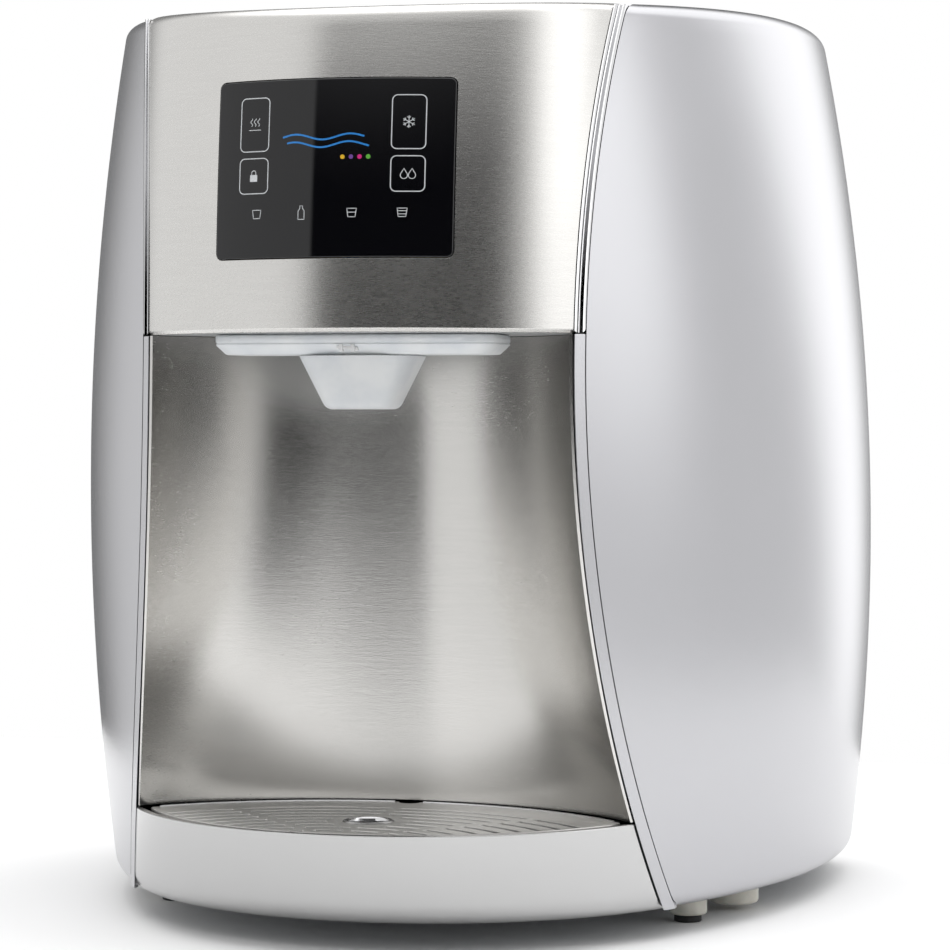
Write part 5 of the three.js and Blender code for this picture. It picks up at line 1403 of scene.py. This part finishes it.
bare_steel = grained(
    "drawn_steel", 900.0, 3.0, (0.50, 0.50, 0.51), (0.60, 0.60, 0.61), 0.16, 0.12, 0.06, 0.0003, (1.0, 1.0, 0.1), metallic=1.0
)
for side, x in (("hot", SPOUT_X), ("cold", -SPOUT_X)):
    low, high = heights(f"{side}_spout")
    profile = [(SPOUT_BORE, low + 0.4), (SPOUT_BORE + 0.35, low), (SPOUT_RADIUS - 0.25, low), (SPOUT_RADIUS, low + 0.3)]
    profile += [(SPOUT_RADIUS, high - 0.2), (SPOUT_RADIUS - 0.2, high), (SPOUT_BORE, high), (SPOUT_BORE, low + 0.4)]
    spout = turned_mesh(f"{side}_spout_tube", profile, x, NOZZLE_Y, 40)
    finished(f"{side}_spout_tube", spout, bare_steel, f"{side}_spout", "tank_steel", crease=50)


# ------------------------------------------------------------------ top cover
# One grey moulded cover closes the dome between the shells and the head panel. At the back it
# rolls over the edge and ends in a flange that the rear panel's upper screws reach.
COVER_ROWS, COVER_WALL, COVER_DROP = 90, 3.0, 0.4
REAR_PANEL_WALL, REAR_FLANGE = 2.5, 2.0


def side_x(y, z, inset):
    cx, cy = side_centre(z)
    corner_x, corner_y, _ = rear_corner(z)
    if y > corner_y:
        return corner_x + math.sqrt(max(0.0, (CORNER_RADIUS - inset) ** 2 - (y - corner_y) ** 2))
    return cx + math.sqrt((SIDE_RADIUS - inset) ** 2 - (y - cy) ** 2)


def cover_point(u, v, depth):
    gap = TOP_FLANGE + 4 * GAP
    x_edge, centre = head_arc(TOP_Z - TOP_ROUND)
    radius = HEAD_RADIUS - HEAD_FLANGE - GAP - 0.6
    front, back = centre - radius + 0.5, BACK_Y - TOP_FLANGE - GAP
    y = front + (back - front) * (1 - math.cos(v / COVER_ROWS * math.pi)) / 2
    z = top_z(y) - COVER_DROP
    shell_start = seam_half_width(z) + TRIM_WIDTH / 2 + GAP
    open_front = y < side_y(shell_start, z, gap) + 4
    half = shell_start - GAP if open_front else side_x(y, z, gap)
    trim_half = seam_half_width(z) - TRIM_WIDTH / 2 - 2 * GAP
    if y < centre:
        half = min(half, math.sqrt(max(0.0, radius * radius - (centre - y) ** 2)))
    if y <= side_y(trim_half, z) + HEAD_TRIM_DEPTH + GAP:
        half = min(half, trim_half)
    return half * (u / 6 - 1), y, z - depth


def tongue_point(u, v, depth):
    x = (REAR_HALF_WIDTH - GAP) * (u / 6 - 1)
    start = BACK_Y - TOP_FLANGE - 6
    if v == 0:
        return x, start, top_z(start) - COVER_DROP - depth
    if v > 12:
        return x, BACK_Y - depth, top_z(BACK_Y) - TOP_ROUND + GAP
    angle = (v - 1) / 11 * math.pi / 2
    curl = TOP_ROUND - depth
    low = top_z(BACK_Y) - COVER_DROP - TOP_ROUND
    return x, BACK_Y - TOP_ROUND + curl * math.sin(angle), low + curl * math.cos(angle)


def joined(name, *meshes):
    """Several meshes as one, in the order given. The separate meshes are removed."""
    work = bmesh.new()
    for mesh in meshes:
        work.from_mesh(mesh)
        bpy.data.meshes.remove(mesh)
    return made_mesh(work, name)


cover = plate_mesh("cover", 12, COVER_ROWS, cover_point, COVER_WALL)
roll = plate_mesh("roll", 12, 13, tongue_point, COVER_WALL)
flange_low = sum(heights("rear_screw_4")) / 2 - 10.0
flange_y = BACK_Y - REAR_PANEL_WALL - GAP - REAR_FLANGE / 2
flange_top = top_z(BACK_Y) - 1.6
flange_size = (2 * (REAR_HALF_WIDTH - 3), REAR_FLANGE, flange_top - flange_low)
flange = block_mesh("flange", [(0.0, flange_y, flange_low, *flange_size)])
cover_grey = moulded_plastic("cover_grey", (0.36, 0.365, 0.37), 0.42, 1100.0)
cover_mesh = joined("top_cover_moulding", cover, roll, flange)
finished("top_cover_moulding", cover_mesh, cover_grey, "top_cover", "grey_plastic", crease=35, bevel=0.3)


# ------------------------------------------------------------------ rear panel
# A zinc-plated steel panel closes the back. Its openings are punched for the mains inlet, the
# switches, the water inlet and the drain, and two columns of pressed louvres let out warm air.
def zinc(name, tone):
    """Galvanised sheet: faint crystals of two greys, with a soft uneven shine."""
    sheet = Finish(name, metallic=1.0)
    where = sheet.place()
    crystal = sheet.node("ShaderNodeTexVoronoi", "Color", Vector=where, Scale=170.0)
    fine = sheet.noise(800.0, 3.0)
    shade = sheet.node("ShaderNodeRGBToBW", Color=crystal)
    dark = tuple(c * 0.93 for c in tone)
    sheet.set(base_color=sheet.mix(shade.ramp(0.2, 0.8), dark, tone))
    sheet.set(roughness=0.36 + (shade - 0.5) * 0.05 + (fine - 0.5) * 0.08)
    sheet.bump(fine * 0.6 + shade * 0.4, 0.05, 0.0003)
    return sheet


def stood_up(mesh):
    """Turns a plate drawn flat as (x, z) upright, with its thickness along the depth."""
    for vertex in mesh.vertices:
        x, z, depth = vertex.co
        vertex.co = (x, depth + DRAWN_BACK / 1000, z - DRAWN_BACK / 1000)
    return outward(mesh)


def oblong(x, z, width, height, corner=1.0):
    return frame_path(x, z, width, height, corner, 5)


def middle(node):
    low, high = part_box(node)
    return (low.x + high.x) * 500, (low.z + high.z) * 500


zinc_sheet = zinc("zinc_sheet", (0.56, 0.575, 0.59))
INLET_WIDTH, INLET_HEIGHT, SWITCH_WIDTH, SWITCH_HEIGHT, SWITCH_PITCH = 27.0, 20.0, 15.0, 21.0, 19.0
VENT_COLUMNS, VENT_ROWS, VENT_WIDTH, VENT_HEIGHT, VENT_PITCH, VENT_LOW = 2, 8, 62.0, 4.0, 9.0, 120.0
inlet_x, inlet_z = middle("mains_inlet")
switch_x, switch_z = middle("switch_housing")
water_x, water_z = middle("water_inlet")
drain_x, drain_z = middle("drain_plug")
screw_spots = [middle(f"rear_screw_{i}") for i in (1, 2, 3, 4)]
switch_span = SWITCH_PITCH + SWITCH_WIDTH + 4
panel_holes = [
    oblong(inlet_x, inlet_z, INLET_WIDTH + 2 * GAP, INLET_HEIGHT + 2 * GAP),
    oblong(switch_x, switch_z, switch_span + 2 * GAP, SWITCH_HEIGHT + 4 + 2 * GAP),
    circle(water_x, water_z, 8.5 + GAP),
    circle(drain_x, drain_z, 9.0 + GAP),
    *[circle(x, z, 2.1, 20) for x, z in screw_spots],
]
vent_across = VENT_WIDTH + 14
for column in range(VENT_COLUMNS):
    for row in range(VENT_ROWS):
        x = (column - (VENT_COLUMNS - 1) / 2) * vent_across
        panel_holes.append(oblong(x, VENT_LOW + row * VENT_PITCH, VENT_WIDTH, VENT_HEIGHT, 0.6))
panel_low, panel_high = heights("rear_panel")
panel_outline = oblong(0.0, (panel_low + panel_high) / 2, 2 * REAR_HALF_WIDTH, panel_high - panel_low, 1.2)
panel_flat = pierced_plate("rear_panel_sheet", panel_outline, panel_holes, BACK_Y - REAR_PANEL_WALL, BACK_Y, 0.2)
finished("rear_panel_sheet", stood_up(panel_flat), zinc_sheet, "rear_panel", "zinc_sheet", crease=40)


# A hood is pressed out over every louvre slot. One hood is modelled, and a node group sets it
# out in columns and rows.
def array_group(name):
    """Geometry nodes that set out one unit on an upright grid of columns and rows."""
    group = bpy.data.node_groups.new(name, "GeometryNodeTree")
    kinds = {"Unit": "Object", "Columns": "Int", "Rows": "Int", "Across": "Float", "Up": "Float", "Finish": "Material"}
    for label, kind in kinds.items():
        group.interface.new_socket(label, in_out="INPUT", socket_type=f"NodeSocket{kind}")
    group.interface.new_socket("Geometry", in_out="OUTPUT", socket_type="NodeSocketGeometry")
    nodes, links = group.nodes, group.links
    given, result = nodes.new("NodeGroupInput"), nodes.new("NodeGroupOutput")
    grid = nodes.new("GeometryNodeMeshGrid")
    for axis, count, pitch in (("X", "Columns", "Across"), ("Y", "Rows", "Up")):
        less = nodes.new("ShaderNodeMath")
        less.operation = "SUBTRACT"
        less.inputs[1].default_value = 1.0
        size = nodes.new("ShaderNodeMath")
        size.operation = "MULTIPLY"
        links.new(given.outputs[count], less.inputs[0])
        links.new(less.outputs[0], size.inputs[0])
        links.new(given.outputs[pitch], size.inputs[1])
        links.new(size.outputs[0], grid.inputs[f"Size {axis}"])
        links.new(given.outputs[count], grid.inputs[f"Vertices {axis}"])
    upright = nodes.new("GeometryNodeTransform")
    upright.inputs["Rotation"].default_value = (math.pi / 2, 0.0, 0.0)
    unit = nodes.new("GeometryNodeObjectInfo")
    unit.inputs["As Instance"].default_value = True
    spots = nodes.new("GeometryNodeInstanceOnPoints")
    solid = nodes.new("GeometryNodeRealizeInstances")
    coat = nodes.new("GeometryNodeSetMaterial")
    links.new(grid.outputs["Mesh"], upright.inputs["Geometry"])
    links.new(upright.outputs["Geometry"], spots.inputs["Points"])
    links.new(given.outputs["Unit"], unit.inputs["Object"])
    links.new(unit.outputs["Geometry"], spots.inputs["Instance"])
    links.new(spots.outputs["Instances"], solid.inputs["Geometry"])
    links.new(solid.outputs["Geometry"], coat.inputs["Geometry"])
    links.new(given.outputs["Finish"], coat.inputs["Material"])
    links.new(coat.outputs["Geometry"], result.inputs["Geometry"])
    return group


array_nodes = array_group("set_out_on_a_grid")


def array_mesh(name, unit_mesh, columns, rows, across, up, centre, finish):
    """The unit mesh, drawn about the origin, repeated about a drawn centre. Sizes in mm."""
    unit = bpy.data.objects.new(f"{name}_unit", unit_mesh)
    holder = bpy.data.objects.new(f"{name}_holder", bpy.data.meshes.new(f"{name}_holder"))
    scene.collection.objects.link(unit)
    scene.collection.objects.link(holder)
    modifier = holder.modifiers.new("array", "NODES")
    modifier.node_group = array_nodes
    values = {"Unit": unit, "Columns": columns, "Rows": rows, "Finish": finish.material}
    values |= {"Across": across / 1000, "Up": up / 1000}
    for item in array_nodes.interface.items_tree:
        if item.in_out == "INPUT":
            modifier[item.identifier] = values[item.name]
    bpy.context.view_layer.update()
    made = bpy.data.meshes.new_from_object(holder.evaluated_get(bpy.context.evaluated_depsgraph_get()))
    for old in (unit, holder):
        data = old.data
        bpy.data.objects.remove(old)
        bpy.data.meshes.remove(data)
    made.materials.clear()
    place = row_frame(centre)
    for vertex in made.vertices:
        vertex.co += place
    made.name = name
    return made


HOOD_PROUD, HOOD_LOW, HOOD_TALL, HOOD_WALL = 2.2, -2.4, 5.2, 0.7


def hood_section(x, scale):
    """The hood's cross-section at x: a quarter arch outside and a thinner one inside."""
    turns = [math.pi / 2 * i / 8 for i in range(9)]
    proud = HOOD_PROUD * scale
    outer = [(x, proud * math.cos(a), HOOD_LOW + HOOD_TALL * math.sin(a)) for a in turns]
    thin, short = max(0.0, proud - HOOD_WALL), HOOD_TALL - HOOD_WALL
    inner = [(x, thin * math.cos(a), HOOD_LOW + short * math.sin(a)) for a in reversed(turns)]
    return outer + inner


hood_rings = []
for x in spread(-VENT_WIDTH / 2 - 0.5, VENT_WIDTH / 2 + 0.5, 40):
    edge = (VENT_WIDTH / 2 + 0.6 - abs(x)) / 7.0
    hood_rings.append(hood_section(x, max(0.08, min(1.0, math.sqrt(max(0.0, edge))))))
hood_unit = loft_mesh("louvre_hood_unit", hood_rings)
vent_middle = (0.0, BACK_Y, VENT_LOW + (VENT_ROWS - 1) * VENT_PITCH / 2 - 0.4)
vent_grid = (VENT_COLUMNS, VENT_ROWS, vent_across, VENT_PITCH)
hoods = array_mesh("louvre_hoods", hood_unit, *vent_grid, vent_middle, zinc_sheet)
finished("louvre_hoods", hoods, zinc_sheet, None, "zinc_sheet", crease=45)


# ------------------------------------------------------------------ rear screws
# Four zinc pan-head screws with a cross recess hold the rear panel to the pan's flange below
# and to the top cover's flange above.
SCREW_HEAD, SCREW_SHANK, RECESS, RECESS_DEPTH = 3.6, 1.8, 0.42, 1.0


def screw_unit():
    """A pan head with a cross recess sunk into its dome, and a plain shank behind it."""
    shape = [(0.0, 1.9), (0.5, 1.9), (1.0, 1.88), (1.5, 1.82), (2.0, 1.7), (2.6, 1.45), (3.1, 1.1)]
    shape += [(SCREW_HEAD, 0.5), (SCREW_HEAD, 0.3), (SCREW_SHANK, 0.3), (SCREW_SHANK, -8.6), (1.0, -9.4), (0.0, -9.5)]
    rings = []
    for radius, depth in shape:
        ring = []
        for x, z in circle(0.0, 0.0, radius, 48) if radius else [(0.0, 0.0)]:
            arm = min(abs(x), abs(z)) < RECESS and max(abs(x), abs(z)) < 2.1 and depth > 1.0
            ring.append((x, depth - (RECESS_DEPTH if arm else 0.0), z))
        rings.append(ring)
    return loft_mesh("screw_unit", rings, ends=False)


screw_metal = grained("screw_zinc", 600.0, 3.0, (0.46, 0.47, 0.48), (0.62, 0.63, 0.65), 0.26, 0.12, metallic=1.0)
(x0, z0), (x3, z3) = screw_spots[0], screw_spots[3]
screw_centre = ((x0 + x3) / 2, BACK_Y + GAP, (z0 + z3) / 2)
screws = array_mesh("rear_screws", screw_unit(), 2, 2, x3 - x0, z3 - z0, screw_centre, screw_metal)
finished("rear_screws", screws, screw_metal, [f"rear_screw_{i}" for i in (1, 2, 3, 4)], "tank_steel", crease=35)


# ------------------------------------------------------------------ mains inlet and switches
# The mains inlet is a black moulded socket with three blades, clipped into the panel. Beside
# it two rockers, red for hot and white for cold, sit in one framed housing.
dark_plastic = moulded_plastic("dark_plastic", (0.028, 0.030, 0.032), 0.42)


def framed_socket(name, x, z, wide, tall, rim, pockets, deep, floor_at):
    """A flange on the panel's face, a sleeve through it and a closed floor behind the pockets."""
    flange_outline, sleeve_outline = oblong(x, z, wide + 2 * rim, tall + 2 * rim, 1.8), oblong(x, z, wide, tall)
    face = BACK_Y + GAP
    front = stood_up(pierced_plate(f"{name}_a", flange_outline, pockets, face, face + 1.3, 0.3))
    sleeve = stood_up(pierced_plate(f"{name}_b", sleeve_outline, pockets, floor_at, face, 0.05))
    back = stood_up(pierced_plate(f"{name}_c", sleeve_outline, [], deep, floor_at, 0.05))
    return joined(name, front, sleeve, back)


socket_hole = oblong(inlet_x, inlet_z, INLET_WIDTH - 4, INLET_HEIGHT - 5, 2.5)
inlet_size = (inlet_x, inlet_z, INLET_WIDTH, INLET_HEIGHT, 2.5)
inlet_mesh = framed_socket("mains_socket", *inlet_size, [socket_hole], BACK_Y - 19, BACK_Y - 11)
finished("mains_socket", inlet_mesh, dark_plastic, "mains_inlet", "dark_plastic", crease=40)
blade_places = ((-7.0, -1.4), (7.0, -1.4), (0.0, 2.6))
blade_blocks = [(inlet_x + dx, BACK_Y - 6, inlet_z + dz - 2, 2.0, 10.0, 4.0) for dx, dz in blade_places]
blades = block_mesh("socket_blades", blade_blocks)
finished("socket_blades", blades, bare_steel, None, "tank_steel", bevel=0.3, segments=3)

pocket_places = [switch_x + side * SWITCH_PITCH / 2 for side in (-1, 1)]
pockets = [oblong(x, switch_z, SWITCH_WIDTH, SWITCH_HEIGHT, 0.8) for x in pocket_places]
switch_size = (switch_x, switch_z, switch_span, SWITCH_HEIGHT + 4, 2.0)
housing_mesh = framed_socket("switch_frame", *switch_size, pockets, BACK_Y - 13, BACK_Y - 7)
finished("switch_frame", housing_mesh, dark_plastic, "switch_housing", "dark_plastic", crease=40)


def rocker_mesh(name, x):
    """A rocker in side view, shallow in its middle, swept across its width."""
    wide, half = SWITCH_WIDTH - 1.2, SWITCH_HEIGHT / 2 - 1
    face = [(2.6 - 1.0 * (1 - (t / half) ** 2), t) for t in spread(half - 0.2, 0.2 - half, 16)]
    side = [(-6.0, -1.5), (-3.0, 1.5 - half), (2.2, -half), *reversed(face)]
    side += [(2.2, half), (-3.0, half - 1.5), (-6.0, 1.5)]
    low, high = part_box(name.replace("_cap", ""))
    shift = (low.y + high.y) * 500 - DRAWN_BACK - (2.6 - 6.0) / 2
    rings = []
    for dx in (-wide / 2, wide / 2):
        rings.append([(x + dx, y + shift + DRAWN_BACK, z + switch_z) for y, z in side])
    return loft_mesh(name, rings)


rocker_red = moulded_plastic("rocker_red", (0.50, 0.035, 0.025), 0.30, clear=0.1)
rocker_white = moulded_plastic("rocker_white", (0.72, 0.73, 0.73), 0.32, clear=0.1)
rockers = (("hot", 1, rocker_red, "red_plastic"), ("cold", -1, rocker_white, "white_plastic"))
for word, side, finish, slot_name in rockers:
    name, edge = f"{word}_rocker_cap", {"crease": 35, "bevel": 0.4, "segments": 3}
    cap = rocker_mesh(name, switch_x + side * SWITCH_PITCH / 2)
    finished(name, cap, finish, f"{word}_rocker", slot_name, body=f"{word}_switch", **edge)


# ------------------------------------------------------------------ water inlet and drain
# The water inlet is a white nylon tail with a moulded thread. The drain is closed by a black
# plug with a scalloped head and a coin slot.
def turned_back(name, profile, x, z, segments=56, scallop=0.0, lobes=12):
    """A solid of revolution about a line that runs backwards: (radius, drawn y) pairs."""
    rings = []
    for radius, y in profile:
        ring = []
        for i in range(segments):
            a = 2 * math.pi * i / segments
            r = radius - (scallop * (0.5 - 0.5 * math.cos(a * lobes)) if radius > 10.6 else 0.0)
            ring.append((x + r * math.cos(a), y + DRAWN_BACK, z + r * math.sin(a)))
        rings.append(ring)
    return loft_mesh(name, rings)


white_plastic = moulded_plastic("white_plastic", (0.70, 0.71, 0.71), 0.36, clear=0.15)
thread = [(8.5, BACK_Y - 18), (8.5, BACK_Y + GAP), (11.5, BACK_Y + GAP), (11.5, BACK_Y + 2.6)]
thread += [(11.1, BACK_Y + 3.0), (8.0, BACK_Y + 3.0)]
for i in range(3):
    start = BACK_Y + 3.2 + i * 0.9
    thread += [(8.0, start), (8.45, start + 0.25), (8.45, start + 0.4), (8.0, start + 0.65)]
thread += [(7.4, BACK_Y + 6.0), (4.3, BACK_Y + 6.0), (4.0, BACK_Y + 5.6), (4.0, BACK_Y - 18)]
inlet_tail = turned_back("water_tail", [*thread, thread[0]], water_x, water_z)
finished("water_tail", inlet_tail, white_plastic, "water_inlet", "white_plastic", crease=40)

plug_top = BACK_Y + 5.3
plug = [(0.02, BACK_Y - 15), (8.6, BACK_Y - 15), (9.0, BACK_Y - 14.5), (9.0, BACK_Y + GAP), (11.5, BACK_Y + GAP)]
plug += [(11.5, plug_top - 1.2), (10.9, plug_top - 0.3), (10.2, plug_top)]
plug += [(6.5, plug_top), (6.2, plug_top - 0.5), (0.02, plug_top - 0.5)]
plug_mesh = turned_back("drain_cap", plug, drain_x, drain_z, 96, 0.9, 12)
finished("drain_cap", plug_mesh, dark_plastic, "drain_plug", "dark_plastic", crease=35)
coin_bar = block_mesh("drain_bar", [(drain_x, plug_top - 0.6, drain_z - 1.0, 11.6, 1.1, 2.0)])
finished("drain_bar", coin_bar, dark_plastic, None, "dark_plastic", bevel=0.35, segments=3)


# ------------------------------------------------------------------ chassis and inner pieces
# What the housing holds keeps its CAD shape and gets its own finish: galvanised chassis, drawn
# steel tanks in foam, painted compressor, brass valves, moulded filter, and hoses.
def dress(finish, *nodes):
    for node in nodes:
        for material_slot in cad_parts[node].material_slots:
            material_slot.material = finish.material


foam = Finish("tank_foam")
bubbles = foam.node("ShaderNodeTexVoronoi", 0, Vector=foam.place(), Scale=420.0)
age = foam.noise(22.0, 3.0)
foam.set(base_color=foam.mix(age.ramp(0.3, 0.7), (0.52, 0.45, 0.30), (0.66, 0.60, 0.44)))
foam.set(roughness=0.86 + bubbles * 0.1)
foam.bump(bubbles, 0.5, 0.0008)

black_paint = grained(
    "black_enamel", 500.0, 2.0, (0.010, 0.010, 0.011), (0.020, 0.020, 0.022), 0.32, 0.14, dent=0.12
)
brass = grained("cast_brass", 260.0, 4.0, (0.48, 0.33, 0.12), (0.70, 0.52, 0.24), 0.30, 0.16, dent=0.12, metallic=1.0)

fin_metal = Finish("condenser_fins", metallic=1.0)
_, _, fin_up = fin_metal.axes()
# Sine bands up the condenser give the fins both their relief and their colour: the dark bands are painted shade in the
# gaps between the fins.
fin_relief_and_gap_shade = (fin_up * 2600.0).sum("SINE") * 0.5 + 0.5
fin_metal.set(base_color=fin_metal.mix(fin_relief_and_gap_shade.ramp(0.2, 0.7), (0.16, 0.16, 0.17), (0.62, 0.63, 0.64)))
fin_metal.set(roughness=0.34 + fin_metal.noise(900.0, 2.0) * 0.16)
fin_metal.bump(fin_relief_and_gap_shade, 0.6, 0.0006)

board_green = Finish("circuit_board", coat_weight=0.5, coat_roughness=0.2)
square = {"distance": "MANHATTAN", "feature": "F1"}
tracks = board_green.node("ShaderNodeTexVoronoi", 0, square, Vector=board_green.place(), Scale=160.0)
board_green.set(base_color=board_green.mix(tracks.ramp(0.30, 0.42), (0.012, 0.11, 0.05), (0.03, 0.20, 0.09)))
board_green.set(roughness=0.40 + tracks * 0.1)
board_green.bump(tracks.ramp(0.30, 0.42), 0.2, 0.0002)


def hose(name, tone):
    shine = {"subsurface_weight": 0.2, "subsurface_scale": 0.002, "coat_weight": 0.2, "coat_roughness": 0.15}
    return grained(name, 120.0, 3.0, tuple(c * 0.8 for c in tone), tone, 0.26, 0.12, stretch=(1.0, 1.0, 0.3), **shine)


dress(zinc_sheet, "base_pan", "left_upright", "right_upright", "tank_shelf")
dress(bare_steel, "cold_tank", "hot_tank")
dress(foam, "cold_tank_jacket")
dress(black_paint, "compressor", "fan_rotor")
dress(fin_metal, "condenser")
dress(dark_plastic, "fan_frame", "filter_head")
dress(white_plastic, "filter_cartridge")
dress(brass, "hot_valve", "cold_valve")
dress(board_green, "touch_board", "power_board")
dress(hose("hot_hose", (0.50, 0.05, 0.04)), "hot_water_tube")
dress(hose("cold_hose", (0.05, 0.16, 0.50)), "cold_water_tube")
